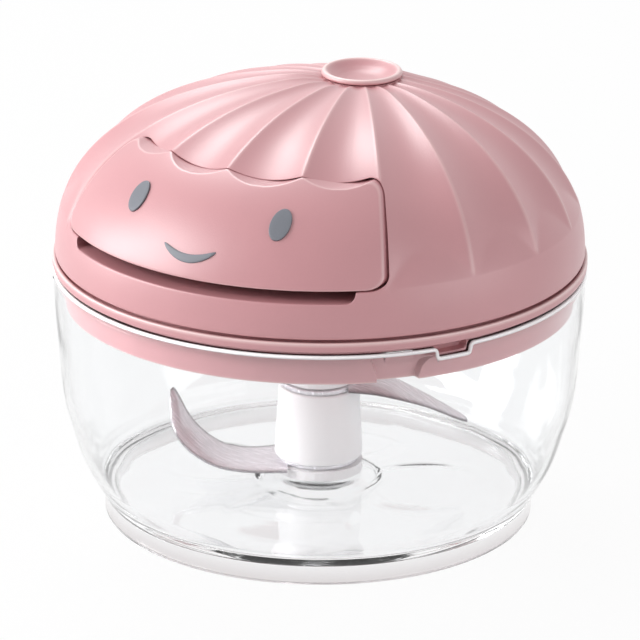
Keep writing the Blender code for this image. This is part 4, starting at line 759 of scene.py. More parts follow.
def shell_patches():
    """Grids of the dome's outer surface, opening, pocket, crown seat, seam edge and cavity."""
    angles = dome_columns()
    middle_angle, half = opening_sides(1)
    low, top = outer_level(angles)
    inside = np.abs(angles - middle_angle) <= half + 1e-8
    patches = []
    band = np.concatenate((np.linspace(0, 0.9, 9), (0.95, 0.985, 1.0)))[:, None]
    band = SEAM_ROUNDING + band * (low - SEAM_ROUNDING)
    grid, crest = fluted_dome(angles, dome_radius(band))
    seam_edge = grid[0]
    patches.append((grid, True, crest))
    climb = np.concatenate((np.linspace(0, 0.42, 27), np.linspace(0.45, 1, 18)))[:, None]
    middle = low + climb * (top - low)
    right = angles - middle_angle >= half - 1e-8
    left = angles - middle_angle <= -half + 1e-8
    order = np.concatenate((np.where(right)[0], np.where(left)[0]))
    grid, crest = fluted_dome(angles[order], dome_radius(middle[:, order]))
    patches.append((grid, False, crest))
    share = np.sin(np.linspace(0, math.pi / 2, 34))
    top_reach = ray_reach(angles - math.pi / 2, dome_radius(top))
    reach = top_reach + (CROWN_SEAT_RADIUS - top_reach) * share[:, None]
    grid, crest = fluted_surface(angles, reach)
    grid[-1, :, 2] = CROWN_SEAT_Z
    patches.append((grid, True, crest))
    crown_edge = grid[-1]
    centre = np.array((0, CROWN_Y, 0))
    out = (crown_edge - centre) * (1, 1, 0) / CROWN_SEAT_RADIUS
    seat = [centre + out * radius + (0, 0, height) for radius, height in (
        (CROWN_SEAT_RADIUS, CROWN_SEAT_Z), (CROWN_HOLE_RADIUS, CROWN_SEAT_Z),
        (CROWN_HOLE_RADIUS, CROWN_HOLE_Z), (0.0, CROWN_HOLE_Z))]
    patches.append((np.array(seat), True))
    patches += opening_patches((angles[inside] - middle_angle) / half, climb[:, 0])
    patches += cavity_patches(seam_edge)
    return patches


def opening_loop(share, climb, rounded_off):
    """Closed loop round the opening: along the bottom, up one side, back and down again."""
    middle, half = opening_sides(rounded_off)
    low = opening_low(share, rounded_off)
    top = opening_top(share, rounded_off)
    side = (low[-1] + climb * (top[-1] - low[-1]))[1:-1]
    shares = np.concatenate((share, np.ones(len(side)), share[::-1], -np.ones(len(side))))
    rises = np.concatenate((low, side, top[::-1], side[::-1]))
    return fluted_dome(middle + half * shares, dome_radius(rises))[0]


def pocket_back(x):
    """Y of the pocket's back: a drum about the main axis, and a flat end beyond it."""
    return -np.maximum(np.sqrt(np.maximum(POCKET_RADIUS ** 2 - x ** 2, 0)), POCKET_END)


def opening_patches(share, climb):
    """Rounded lip of the opening, the pocket's walls along Y, and its back round the eyelet."""
    outer = opening_loop(share, climb, 1)
    corner = opening_loop(share, climb, 0)
    deep = corner + np.array((0, OPENING_ROUNDING, 0))
    bend = np.linspace(0, 1, 6)[:, None, None]
    lip = bent(outer, corner, deep, bend)
    back = corner.copy()
    back[:, 1] = np.maximum(pocket_back(corner[:, 0]), deep[:, 1] + 0.1 * MM)
    depth = np.linspace(0, 1, 9)[:, None, None]
    walls = deep + (back - deep) * depth
    centre = np.array((0, EYELET_Z))
    circle = centre + EYELET_HOLE * unit(back[:, (0, 2)] - centre)
    rings = np.linspace(0, 1, 25)[:, None, None]
    flat = back[None, :, (0, 2)] * (1 - rings) + circle * rings
    wall_y = pocket_back(flat[..., 0])
    wall_y[0] = back[:, 1]
    rear = np.stack((flat[..., 0], wall_y, flat[..., 1]), -1)
    hole = rear[-1].copy()
    hole[:, 1] = pocket_back(hole[:, 0]) + BLIND_DEPTH
    end = np.repeat(np.array((0, -POCKET_RADIUS + BLIND_DEPTH, EYELET_Z))[None], len(hole), 0)
    blind = np.array((rear[-1], hole, end))
    return [(lip, True), (walls, True), (rear, True), (blind, True)]


def cavity_patches(seam_edge):
    """Seam edge, flat underside and the hollow inside, as a radius worked out per angle and rise.

    The hollow's radius is the least of the inner superellipse, the screw posts and the pocket's
    liner, so all three stay solid.
    """
    angle = np.arctan2(seam_edge[:, 1], seam_edge[:, 0])
    bend = np.linspace(0, math.pi / 2, 5)
    edge = np.column_stack((DOME_RADIUS - SEAM_ROUNDING * (1 - np.cos(bend)),
                            SEAM_Z + SEAM_ROUNDING * (1 - np.sin(bend))))
    rim = turned_at(np.vstack((edge, (DOME_RADIUS - DOME_WALL, SEAM_Z))), angle)
    rim[0] = seam_edge
    top = DOME_RISE - DOME_TOP_WALL
    rise = np.concatenate((
        np.linspace(0, 6.9, 6), (7.2, 7.21), np.linspace(9.5, 28, 8), np.linspace(29, 35.6, 9),
        (36.2, 36.7, 37.1, 37.5, 37.8, 38.0, 38.1))) * MM
    rise = np.minimum(rise, top)
    smooth = dome_radius(rise, DOME_WALL, DOME_TOP_WALL)[:, None]
    hollow = np.broadcast_to(smooth, (len(rise), len(angle))).copy()
    for post in POST_ANGLES:
        away = from_nearest(angle, post * DEGREE, 1)
        sideways = POST_PITCH_RADIUS * np.sin(away)
        bulge = np.sqrt(np.maximum(POST_RADIUS ** 2 - sideways ** 2, 0))
        limit = np.minimum(hollow, POST_PITCH_RADIUS * np.cos(away) - bulge)
        near = (np.abs(sideways) < POST_RADIUS) & (np.abs(away) < 0.2)
        hollow = np.where(near & (rise[:, None] < POST_TOP_RISE), limit, hollow)
    front = np.maximum(-np.sin(angle), 1e-6)
    liner_end = POCKET_END - POCKET_WALL
    sideways = liner_end * np.abs(np.cos(angle)) / front
    half = ray_reach(PANEL_ANGLE - math.pi / 2, dome_radius(rise)) * math.sin(PANEL_ANGLE)
    liner = np.maximum(POCKET_RADIUS - POCKET_WALL, liner_end / front)
    blocked = (np.sin(angle) < 0) & (sideways < half[:, None] + 3 * MM)
    blocked &= rise[:, None] > LINER_RISE
    hollow = np.where(blocked, np.minimum(hollow, liner), hollow)
    grid = about_axis(hollow, angle, SEAM_Z + rise[:, None])
    return [(rim, True), (np.concatenate((rim[-1:], grid[:1])), True), (grid, True)]


piece("fluted_dome", shell_patches(), satin_pink, "lid", ("dome_shell",), 35)


# Crown disc: shares of its radius and of its dish's depth
DISH_DEPTH = 2.8 * MM
DISH_PLUG_RADIUS = 8.9 * MM
DISH = ((0.0, 1.0), (0.2, 0.985), (0.4, 0.93), (0.55, 0.78), (0.7, 0.5), (0.8, 0.24),
        (0.866, 0.058), (0.907, 0.0), (0.969, 0.046))
dish_profile = [(CROWN_RADIUS * wide, CROWN_Z - DISH_DEPTH * deep) for wide, deep in DISH]
dish_profile += [
    (CROWN_RADIUS, CROWN_Z - 0.65 * MM), (CROWN_RADIUS, CROWN_Z - 1.3 * MM),
    (DISH_PLUG_RADIUS, CROWN_Z - 1.3 * MM), (DISH_PLUG_RADIUS, CROWN_Z - 5.2 * MM),
    (0, CROWN_Z - 5.2 * MM)]
dish_grid = turned(rounded(dish_profile, 0.5 * MM, 6), 128, (0, CROWN_Y))
ring_radius = np.hypot(dish_grid[..., 0], dish_grid[..., 1] - CROWN_Y)
# Painted highlight: a lighter ring round the top of the crown disc's rim
dish_highlight = np.exp(-((ring_radius - CROWN_RADIUS * 0.93) / (0.7 * MM)) ** 2)
dish_highlight *= dish_grid[..., 2] > CROWN_Z - 1 * MM
piece("crown_dish", [(dish_grid, True, dish_highlight)], satin_pink, "lid",
      ("crown_cap",))


# Pull panel, with the outline of the cord's anchor as (r, y) in millimetres
ANCHOR_OUTLINE = ((0, -9), (5.0, -9), (5.0, 0), (3.1, 0), (3.1, -7.0), (0, -7.0))


def panel_top(angles):
    """Rise of the panel's wavy top edge: the height of the fluted dome just behind it."""
    return fluted_dome(angles, dome_radius(PANEL_TOP_RISE))[0][..., 2] - SEAM_Z


def panel_domain(share, climb, inset):
    """Front grid of the panel at an inset from its outline, on the smooth dome."""
    angles = PANEL_TURN + share * (PANEL_ANGLE - inset / OPENING_SIDE_REACH)
    share = np.abs(share)
    low = BAND_HEIGHT + inset + PANEL_CORNER * quarter(share, 1 - corner_share(PANEL_CORNER), 1)
    top = panel_top(angles) - TOP_SLOPE * inset
    top -= PANEL_TOP_CORNER * quarter(share, 1 - corner_share(PANEL_TOP_CORNER), 1)
    rise = low + climb[:, None] * (top - low)
    plan = angles - math.pi / 2
    reach = ray_reach(plan, dome_radius(rise))
    return np.stack((reach * np.cos(plan), CROWN_Y + reach * np.sin(plan), SEAM_Z + rise), -1)


def grid_rim(grid):
    """Closed loop round the edge of a grid."""
    return np.concatenate((grid[0], grid[1:-1, -1], grid[-1, ::-1], grid[1:-1, 0][::-1]))


def panel_behind(points):
    """The same points moved back along Y on to the panel's inner surface."""
    radius = dome_radius(points[..., 2] - SEAM_Z, PANEL_THICKNESS)
    moved = points.copy()
    moved[..., 1] = -np.sqrt(np.maximum(radius ** 2 - points[..., 0] ** 2, 0))
    moved[..., 1] = np.minimum(np.maximum(moved[..., 1], points[..., 1] + 1.5 * MM),
                               pocket_back(points[..., 0]) - 0.7 * MM)
    return moved


def panel_patches():
    """Front face, rounded edge, side wall, back face and the cord's anchor of the pull panel."""
    angles = flute_columns(np.arange(-3, 4), PANEL_NEAR)
    special = np.concatenate((1 - corner_share(PANEL_CORNER) * CORNER_BENDS,
                              1 - corner_share(PANEL_TOP_CORNER) * CORNER_BENDS))
    special = np.unique(np.round(np.concatenate((special, -special)), 6))
    shares = (angles - PANEL_TURN) / PANEL_ANGLE
    shares = merged(shares[np.abs(shares) < 1], special, 0.002)
    climb = np.linspace(0, 1, 61)
    face = panel_domain(shares, climb, PANEL_ROUNDING)
    outline = panel_domain(shares, climb, 0.0)
    corner = grid_rim(outline)
    deep = corner + np.array((0, PANEL_ROUNDING, 0))
    share = np.linspace(0, 1, 7)[:, None, None]
    edge = bent(grid_rim(face), corner, deep, share)
    behind = panel_behind(face)
    rear_corner = grid_rim(panel_behind(outline))
    lead = rear_corner - np.array((0, REAR_ROUNDING, 0))
    lead[:, 1] = np.maximum(lead[:, 1], deep[:, 1] + 0.05 * MM)
    wall = np.array((deep, deep * 0.5 + lead * 0.5, lead))
    turn_in = bent(lead, rear_corner, grid_rim(behind), share)
    # Painted highlight along the middle of the panel's rounded edge
    light = EDGE_HIGHLIGHT * np.sin(math.pi * share[..., 0])
    anchor = np.array(ANCHOR_OUTLINE) * MM + (0, ANCHOR_Y)
    post = turned_along_y(rounded(anchor, (0, 0, 0.3 * MM, 0.3 * MM, 0, 0), 4), 64, (0, EYELET_Z))
    middle = dome_radius(post[:2, :, 2] - SEAM_Z, PANEL_THICKNESS / 2)
    post[:2, :, 1] = -np.sqrt(middle ** 2 - post[:2, :, 0] ** 2)
    return [(face, False), (edge, True, light), (wall, True), (turn_in, True), (behind, False),
            (post, True)]


piece("pull_panel", panel_patches(), satin_pink, "handle", ("handle_panel",), 35)


# Face inlays on the panel: where they sit, their halves, and how they rise and sink
EYE_ANGLE = 20.8 * DEGREE
EYE_RISE = 25.7 * MM
EYE_TILT = 13 * DEGREE
EYE_HALF_WIDTH = 2.6 * MM
EYE_HALF_HEIGHT = 4.5 * MM
MOUTH_RISE = 17.7 * MM
MOUTH_HALF_WIDTH = 7.45 * MM
MOUTH_SAG = 2.7 * MM
MOUTH_HALF_SWELL = 1.1 * MM
MOUTH_PILLOW = 0.42 * MM
INLAY_SUNK = 0.9 * MM
# Height over which painted shade darkens the inlays towards their feet
FOOT_SHADE_BLEND = 0.2 * MM


def dome_axes(angle, rise, tilt):
    """Point on the dome at an angle from the front and a rise, and its two tilted flat axes."""
    radius = dome_radius(rise)
    point = np.array((radius * math.sin(angle), -radius * math.cos(angle), SEAM_Z + rise))
    out = dome_normal(point)
    level = unit(np.cross((0, 0, 1), out))
    up = np.cross(out, level)
    across = level * math.cos(tilt) + up * math.sin(tilt)
    return point, across, up * math.cos(tilt) - level * math.sin(tilt)


def pressed_on(flat, axes, height):
    """Points of a flat pattern laid on the smooth dome and raised along its normal."""
    point, across, along = axes
    laid = on_dome(point + flat[..., 0:1] * across + flat[..., 1:2] * along)
    return laid + dome_normal(laid) * np.asarray(height)[..., None]


def oval_patches(angle, rise, tilt):
    """Eye: an ellipse with a flat top, a rounded edge and a steep foot darkened by painted shade."""
    bend = np.linspace(0, math.pi / 2, 6)
    inset = np.concatenate(([2.6, 1.4], 0.05 + 0.2 * (1 - np.sin(bend)), [0.0, 0.0])) * MM
    height = np.concatenate(([0.5, 0.5], 0.3 + 0.2 * np.cos(bend), [0.05, -0.9])) * MM
    turn = np.linspace(0, TURN, 72, endpoint=False)
    axes = dome_axes(angle, rise, tilt)
    across = (EYE_HALF_WIDTH - inset)[:, None] * np.cos(turn)
    along = np.where(inset >= EYE_HALF_WIDTH, 0, EYE_HALF_HEIGHT - inset)[:, None] * np.sin(turn)
    flat = np.stack((across, along), -1)
    top = pressed_on(flat, axes, height[:, None])
    base = pressed_on(flat[:1], axes, -INLAY_SUNK)
    # Painted shade: darker where the eye comes down to the panel
    foot = np.clip((0.32 * MM - height) / FOOT_SHADE_BLEND, 0, 1)[:, None]
    return [(top, True, foot), (np.concatenate((top[-1:], base)), True)]


def smile_patches():
    """Mouth: a crescent whose swell is the square root of its bow, with a pillowed top and painted
    shade round its low edge.
    """
    share = np.sin(np.linspace(-math.pi / 2, math.pi / 2, 65))
    bow = 1 - share ** 2
    turn = np.linspace(0, TURN, 40, endpoint=False)
    across = np.sign(np.cos(turn)) * np.abs(np.cos(turn)) ** 0.6
    pillow = MOUTH_PILLOW * np.abs(np.sin(turn)) ** 0.3
    lift = np.where(np.sin(turn) > 0, pillow, INLAY_SUNK * np.sin(turn))
    middle = MOUTH_SAG * (0.5 - bow)
    swell = MOUTH_HALF_SWELL * np.sqrt(bow)[:, None] * across
    flat = np.stack((MOUTH_HALF_WIDTH * share[:, None] + 0 * turn, middle[:, None] + swell), -1)
    height = lift * np.minimum(1, np.sqrt(bow)[:, None] * 2)
    grid = pressed_on(flat, dome_axes(0.0, MOUTH_RISE, 0.0), height)
    # Painted shade: darker where the mouth comes down to the panel
    foot = np.clip((0.3 * MM - lift) / FOOT_SHADE_BLEND, 0, 1)
    return [(grid, True, foot)]


for name, side, node in (("left_eye", -1, "eye_left"), ("right_eye", 1, "eye_right")):
    piece(name, oval_patches(side * EYE_ANGLE, EYE_RISE, -side * EYE_TILT), inlay_grey, "handle",
          (node,))
piece("smile", smile_patches(), inlay_grey, "handle", ("mouth",))


# Lid ring: flange, plate, hub, screw posts, and the skirt with its bayonet channels.
# The outlines of a post and of the seal are (r, z) in millimetres.
CHANNEL_HALF_WIDTH = 5.2 * MM
LOCK_TURN = 12 * DEGREE
CHANNEL_RUN = LOCK_TURN * SKIRT_RADIUS
CHANNEL_ARCH = 6.0 * MM
CHANNEL_EDGE = 0.3 * MM
CHANNEL_LOW_Z = 63.6 * MM
CHANNEL_TOP_Z = 66.8 * MM
CHANNEL_DEPTH = 2.0 * MM
GROOVE_INNER = 65.15 * MM
GROOVE_OUTER = 67.4 * MM
GROOVE_TOP_Z = 68.4 * MM
COLLAR_WIDTH = 1.9 * MM
RING_POST = ((0, 68.3), (3.6, 68.3), (3.6, 95.5), (1.6, 95.5), (1.6, 86.8), (0, 86.8))
RING_POST_PITCH_RADIUS = 39 * MM


def box_distance(x, z, centre, half, low, high, corner):
    """Signed distance to an upright rounded rectangle, negative inside it."""
    across = np.abs(x - centre) - half + corner
    along = np.abs(z - (low + high) / 2) - (high - low) / 2 + corner
    outside = np.hypot(np.maximum(across, 0), np.maximum(along, 0))
    return outside + np.minimum(np.maximum(across, along), 0) - corner


def skirt_channel(angle, height):
    """Depth of the bayonet channels: an open way up and a level run, with a rounded far end."""
    along = from_nearest(angle, LUG_ANGLE, 3) * SKIRT_RADIUS
    entry = box_distance(along, height, 0.0, CHANNEL_HALF_WIDTH, 50 * MM, CHANNEL_TOP_Z, 0.6 * MM)
    level = box_distance(along, height, CHANNEL_RUN / 2, CHANNEL_HALF_WIDTH + CHANNEL_RUN / 2,
                         CHANNEL_LOW_Z, CHANNEL_TOP_Z, 1.4 * MM)
    inside = np.clip(0.5 - soft_min(entry, level, CHANNEL_ARCH) / CHANNEL_EDGE, 0, 1)
    return CHANNEL_DEPTH * smoothstep(inside)


def ring_patches():
    """Closed profile of the ring turned about the main axis, with the channels pressed in.

    Its columns are fine over the channels and even elsewhere.
    """
    channels = at_thirds(LUG_ANGLE, np.arange(-8, 22, 0.32) * MM / SKIRT_RADIUS)
    angle = merged(np.linspace(0, TURN, 240, endpoint=False), channels, 0.006)
    inner = SKIRT_RADIUS - SKIRT_WALL
    upper = [
        (HUB_BORE, HUB_LOW_Z), (HUB_BORE, HUB_TOP_Z), (HUB_RADIUS, HUB_TOP_Z),
        (HUB_RADIUS, PLATE_Z), (COLLAR_RADIUS - COLLAR_WIDTH, PLATE_Z),
        (COLLAR_RADIUS - COLLAR_WIDTH, HUB_TOP_Z), (COLLAR_RADIUS, HUB_TOP_Z),
        (COLLAR_RADIUS, SEAM_FLOOR_Z), (SEAM_LEDGE_RADIUS, SEAM_FLOOR_Z),
        (SEAM_LEDGE_RADIUS, PLATE_Z), (FLANGE_RADIUS, PLATE_Z), (FLANGE_RADIUS, FLANGE_Z),
        (GROOVE_OUTER, FLANGE_Z), (GROOVE_OUTER, GROOVE_TOP_Z), (GROOVE_INNER, GROOVE_TOP_Z),
        (GROOVE_INNER, FLANGE_Z), (SKIRT_RADIUS, FLANGE_Z), (SKIRT_RADIUS, FLANGE_Z - 0.3 * MM),
        (SKIRT_RADIUS, SKIRT_Z), (inner, SKIRT_Z), (inner, FLANGE_Z), (HUB_RADIUS, FLANGE_Z),
        (HUB_RADIUS, HUB_LOW_Z),
    ]
    size = np.full(len(upper), 0.35 * MM)
    size[[7, 8, 9]] = 0.1 * MM
    size[[10, 11]] = 0.45 * MM
    size[[18, 19]] = 0.6 * MM
    size[20] = 1.2 * MM
    profile = divided(rounded(upper, size, 5, closed=True), 4.0 * MM)
    radius, height = profile.T
    on_skirt = (np.abs(radius - SKIRT_RADIUS) < 0.05 * MM) & (height < FLANGE_Z + 0.01 * MM)
    first, last = np.where(on_skirt & (height > SKIRT_Z + 0.3 * MM))[0][[0, -1]]
    face = divided(profile[first:last + 1], 0.3 * MM)
    profile = np.vstack((profile[:first], face, profile[last + 1:]))
    radius, height = profile.T[..., None]
    skirt = (np.abs(radius - SKIRT_RADIUS) < 0.7 * MM) & (height < FLANGE_Z - 0.1 * MM)
    grid = about_axis(radius - skirt_channel(angle, height) * skirt, angle, height)
    # Painted highlight along the flange's top outer corner and the skirt's lower edge
    corner = np.hypot(radius - FLANGE_RADIUS, height - PLATE_Z)
    low_edge = np.exp(-((height - SKIRT_Z) / (0.4 * MM)) ** 2)
    light = np.exp(-(corner / (0.6 * MM)) ** 2) + low_edge * (radius > SKIRT_RADIUS - 1 * MM)
    post = rounded(np.array(RING_POST) * MM, 0.25 * MM, 3)
    turns = np.arange(4) * TURN / 6
    centres = RING_POST_PITCH_RADIUS * np.column_stack((np.cos(turns), np.sin(turns)))
    return [(grid, True, light)] + [(turned(post, 32, centre), True) for centre in centres]


piece("lid_ring", ring_patches(), satin_pink, "lid", ("lid_base",), 35)
SEAL_OUTLINE = ((67.1, 68.1), (67.1, 67.1), (65.3, 67.1), (65.3, 68.1))
seal = rounded(np.array(SEAL_OUTLINE) * MM, 0.3 * MM, 5, closed=True)
piece("rim_seal", [(turned(seal, 200), True)], seal_silicone, "lid_seal",
      ("lid_seal",))


# Bowl
NOTCH_DEPTH = 2.5 * MM
NOTCH_HALF_WIDTH = 4.5 * MM
DROP_START_Z = 60.3 * MM
LUG_HALF_WIDTH = 4.0 * MM
LUG_LOW_Z = 63.3 * MM
LUG_TOP_Z = 65.2 * MM
LUG_REACH = 0.6 * MM
LUG_EDGE = 1.2 * MM
PETAL_RADIUS = 29.0 * MM
PETAL_ANGLE = 16 * DEGREE
PETAL_RISE = 0.45 * MM
PETAL_END = 44.0 * MM
PETAL_FADE = 12.0 * MM
PETAL_LONG = 20.0 * MM
PETAL_WIDE = 18.0 * MM
FLOOR_STEP = 0.55 * MM
HOLLOW_RADIUS = 6.5 * MM


def bowl_columns():
    """Angles of the bowl's columns and the drop of its rim there, down into each notch."""
    path = rounded(((7.5 * MM, 0), (NOTCH_HALF_WIDTH + 0.45 * MM, 0),
                    (NOTCH_HALF_WIDTH, -NOTCH_DEPTH), (0, -NOTCH_DEPTH)), 0.85 * MM, 7)
    path = np.vstack((path[:-1], [(2.5 * MM, -NOTCH_DEPTH), (0.8 * MM, -NOTCH_DEPTH)]))
    both = np.vstack((path, path * (-1, 1)))
    notch = at_thirds(NOTCH_ANGLE, both[:, 0] / BOWL_RADIUS)
    lugs = at_thirds(LUG_ANGLE, np.arange(-5.2, 5.3, 0.4) * MM / BOWL_RADIUS)
    others = merged(np.linspace(0, TURN, 300, endpoint=False), lugs, 0.005)
    others = clear_of(others, notch, 0.004)
    away = np.abs(from_nearest(others, NOTCH_ANGLE, 3)) * BOWL_RADIUS
    angle = np.concatenate((notch, others))
    drop = np.concatenate((np.tile(both[:, 1], 3), np.where(away < 4.4 * MM, -NOTCH_DEPTH, 0)))
    order = np.argsort(angle)
    return angle[order], drop[order]


def smooth_curve(points, count):
    """Catmull-Rom curve through the points, with the given number of points per span."""
    points = np.asarray(points, float)
    padded = np.vstack((2 * points[0] - points[1], points, 2 * points[-1] - points[-2]))
    share = np.linspace(0, 1, count, endpoint=False)[None, :, None]
    a, b, c, d = (padded[index:len(padded) - 3 + index, None] for index in range(4))
    curve = 0.5 * (2 * b + (c - a) * share + (2 * a - 5 * b + 4 * c - d) * share ** 2
                   + (3 * b - a - 3 * c + d) * share ** 3)
    return np.vstack((curve.reshape(-1, points.shape[1]), points[-1]))


def petals(radius, angle):
    """Height of the four oval petals on the floor: a plateau with a soft edge round each ellipse."""
    turn = from_nearest(angle, PETAL_ANGLE, 4)
    along = radius * np.cos(turn) - PETAL_RADIUS
    size = np.hypot(along / PETAL_LONG, radius * np.sin(turn) / PETAL_WIDE)
    return PETAL_RISE * smoothstep(np.clip((1.0 - size) / 0.3, 0, 1))


def level_line(start, stop, step, height):
    """Level (r, z) line of evenly spaced points."""
    radius = np.arange(start, stop, step)
    return np.column_stack((radius, np.full(len(radius), height)))


def bowl_profile():
    """Closed outline of the bowl, and the numbers of its upper and lower rows on the floor."""
    outer = smooth_curve(np.array(BOWL_OUTER_SHARES) * (BOWL_RADIUS, RIM_Z), 7)
    along = unit(np.gradient(outer, axis=0))
    inner = outer + np.column_stack((along[:, 1], -along[:, 0])) * BOWL_WALL
    inner = inner[inner[:, 1] > FLOOR_Z + 4.4 * MM][::-1]
    rim_radius = BOWL_RADIUS + RIM_LIP_REACH
    floor_corner = inner[0, 0] - 3.6 * MM
    head = rounded(
        [(0, PIN_HOLE_Z), (PIN_HOLE_RADIUS, PIN_HOLE_Z), (PIN_HOLE_RADIUS, BOSS_Z),
         (BOSS_RADIUS - 2.5 * MM, BOSS_Z), (BOSS_RADIUS + 1.0 * MM, FLOOR_Z),
         (BOSS_RADIUS + 3 * MM, FLOOR_Z)], (0, 0, 0.2 * MM, 1.8 * MM, 1.8 * MM, 0), 6)
    floor = level_line(BOSS_RADIUS + 3.5 * MM, floor_corner, FLOOR_STEP, FLOOR_Z)
    bend = rounded([(floor_corner, FLOOR_Z), (inner[0, 0] - 0.5 * MM, FLOOR_Z), tuple(inner[0])],
                   4.5 * MM, 9)
    lip_z = RIM_Z - RIM_LIP_HEIGHT
    inner = inner[inner[:, 1] < lip_z - 1.0 * MM]
    outer = outer[outer[:, 1] < lip_z - 0.6 * MM]
    rim = rounded(
        [tuple(inner[-1]), (BOWL_RADIUS - BOWL_WALL, RIM_Z), (rim_radius, RIM_Z),
         (rim_radius, lip_z), (BOWL_RADIUS, lip_z - 0.2 * MM), tuple(outer[0])],
        (0, 0.5 * MM, 0.5 * MM, 0.3 * MM, 0.2 * MM, 0), 5)
    foot_inner = FOOT_RADIUS - FOOT_WIDTH
    foot = rounded(
        [tuple(outer[-1]), (FOOT_RADIUS, FLOOR_UNDER_Z), (FOOT_RADIUS, 0), (foot_inner, 0),
         (foot_inner, FLOOR_UNDER_Z), (foot_inner - 2 * MM, FLOOR_UNDER_Z)],
        (0, 0.2 * MM, 0.9 * MM, 0.9 * MM, 0.9 * MM, 0), 6)
    under = level_line(foot_inner - 2.5 * MM, BOSS_RADIUS + 3 * MM, -FLOOR_STEP, FLOOR_UNDER_Z)
    hollow_z = FLOOR_UNDER_Z + BOSS_Z - FLOOR_Z
    hollow = rounded(
        [(BOSS_RADIUS + 2.6 * MM, FLOOR_UNDER_Z), (BOSS_RADIUS + 0.5 * MM, FLOOR_UNDER_Z),
         (BOSS_RADIUS - 3.0 * MM, hollow_z), (HOLLOW_RADIUS, hollow_z),
         (HOLLOW_RADIUS - 1.5 * MM, FLOOR_UNDER_Z),
         (0, FLOOR_UNDER_Z)], (0, 1.8 * MM, 1.8 * MM, 0.5 * MM, 0.5 * MM, 0), 6)
    upper = len(head) + len(floor) + len(bend)
    lower = len(under) + len(hollow)
    return np.vstack((head, floor, bend[1:], inner[1:-1], divided(rim, 0.35 * MM), outer[1:-1],
                      foot, under, hollow)), upper, lower


def bowl_patches():
    """The bowl's outline turned about the main axis.

    Its rim drops into three notches, three lugs stand on the inner wall, and petals rise on
    the floor, above and below, so that its thickness stays even.
    """
    angle, drop = bowl_columns()
    profile, upper, lower = bowl_profile()
    radius, height = profile.T[..., None]
    order = np.arange(len(profile))[:, None]
    floor_rows = (height < FLOOR_Z + 4 * MM) & (order < upper) | (order >= len(profile) - lower)
    fade = np.clip((PETAL_END - radius) / PETAL_FADE, 0, 1) * (floor_rows & (radius > BOSS_RADIUS))
    dropped = (height - DROP_START_Z) / (RIM_Z - RIM_LIP_HEIGHT - DROP_START_Z)
    raised = height + petals(radius, angle) * fade + np.clip(dropped, 0, 1) * drop
    wall = (np.abs(radius - BOWL_RADIUS + BOWL_WALL) < 0.3 * MM) & (height > 60.8 * MM)
    away = from_nearest(angle, LUG_ANGLE, 3) * BOWL_RADIUS
    lug = box_distance(away, height, 0.0, LUG_HALF_WIDTH, LUG_LOW_Z, LUG_TOP_Z, 0.5 * MM)
    lug = smoothstep(np.clip(0.5 - lug / LUG_EDGE, 0, 1)) * wall
    thick = np.clip((FLOOR_UNDER_Z - height) / (1.5 * MM), 0, 1)
    return [(about_axis(radius - LUG_REACH * lug, angle, raised), True, thick)]


def rim_highlight_patches():
    """Near-white bead that paints the clear rim's highlight line: a circle carried round the rim and
    down into each notch.

    The circle stands in the plane of the outward direction and the route's own sideways one.
    """
    angle, drop = bowl_columns()
    out = about_axis(1.0, angle, 0.0)
    route = about_axis(BOWL_RADIUS - RIM_BEAD_INSET, angle, RIM_Z - RIM_BEAD_DROP + drop)
    side = np.cross(unit(np.roll(route, -1, 0) - np.roll(route, 1, 0)), out)
    turn = (TURN * (np.arange(13) % 12) / 12)[:, None, None]
    return [(route + RIM_BEAD_RADIUS * (out * np.cos(turn) + side * np.sin(turn)), True)]


piece("clear_bowl", bowl_patches(), clear_bowl_plastic, "bowl", ("bowl",), 50)
piece("rim_highlight_bead", rim_highlight_patches(), rim_highlight_white, "bowl")


# Blade column, as an outline and its roundings in millimetres
COLUMN_OUTLINE = ((0.001, 37.2), (5.0, 37.2), (5.0, 33.2), (10.4, 33.2), (11.4, 14.2), (7.0, 14.2),
                  (7.0, 10.7), (5.3, 10.7), (5.3, 27.8), (0.001, 27.8))
COLUMN_ROUNDING = (0, 0.3, 0.2, 0.7, 0.8, 0.2, 0.3, 0.2, 0.3, 0)
column = rounded(np.array(COLUMN_OUTLINE) * MM, np.array(COLUMN_ROUNDING) * MM, 6, closed=True)
piece("column_body", [(turned(column, 128), True)], column_white, "blades",
      ("blade_column",))


# Blades: length along, offset, width, rise and tilt of each station as shares of the reach
BLADE_REACH = 38.5 * MM
BLADE_RING_RADIUS = 10.2 * MM
BLADE_THICKNESS = 1.0 * MM
LOWER_BLADE = (
    (0.20, 0.02, 0.54, -0.02, 0.0), (0.36, 0.04, 0.50, -0.03, 0.0), (0.52, 0.04, 0.47, -0.03, 0.0),
    (0.66, 0.02, 0.43, -0.02, 0.02), (0.78, -0.01, 0.39, 0.02, 0.06), (0.88, -0.05, 0.35, 0.07, 0.12),
    (0.95, -0.09, 0.31, 0.13, 0.18), (0.99, -0.13, 0.22, 0.18, 0.19), (1.01, -0.16, 0.08, 0.25, 0.12),
)
UPPER_BLADE = (
    (0.20, 0.00, 0.48, 0.0, 0.0), (0.36, -0.01, 0.42, -0.02, 0.0), (0.50, 0.00, 0.36, -0.06, 0.0),
    (0.64, 0.03, 0.28, -0.12, 0.0), (0.76, 0.06, 0.21, -0.18, 0.0), (0.87, 0.10, 0.15, -0.25, 0.0),
    (0.95, 0.13, 0.10, -0.30, 0.0), (1.0, 0.15, 0.04, -0.33, 0.0),
)
# Section: share across, share of the thickness, and how much painted shade darkens the steel there
BLADE_SECTION = np.array((
    (-0.5, 0.42, 1), (-0.5, 0.58, 1), (-0.36, 1, 0), (-0.1, 1, 0), (0.2, 1, 0), (0.44, 1, 0),
    (0.5, 0.8, 0.7), (0.5, 0.2, 0.7), (0.44, 0, 0), (0.2, 0, 0), (-0.1, 0, 0), (-0.36, 0, 0)))


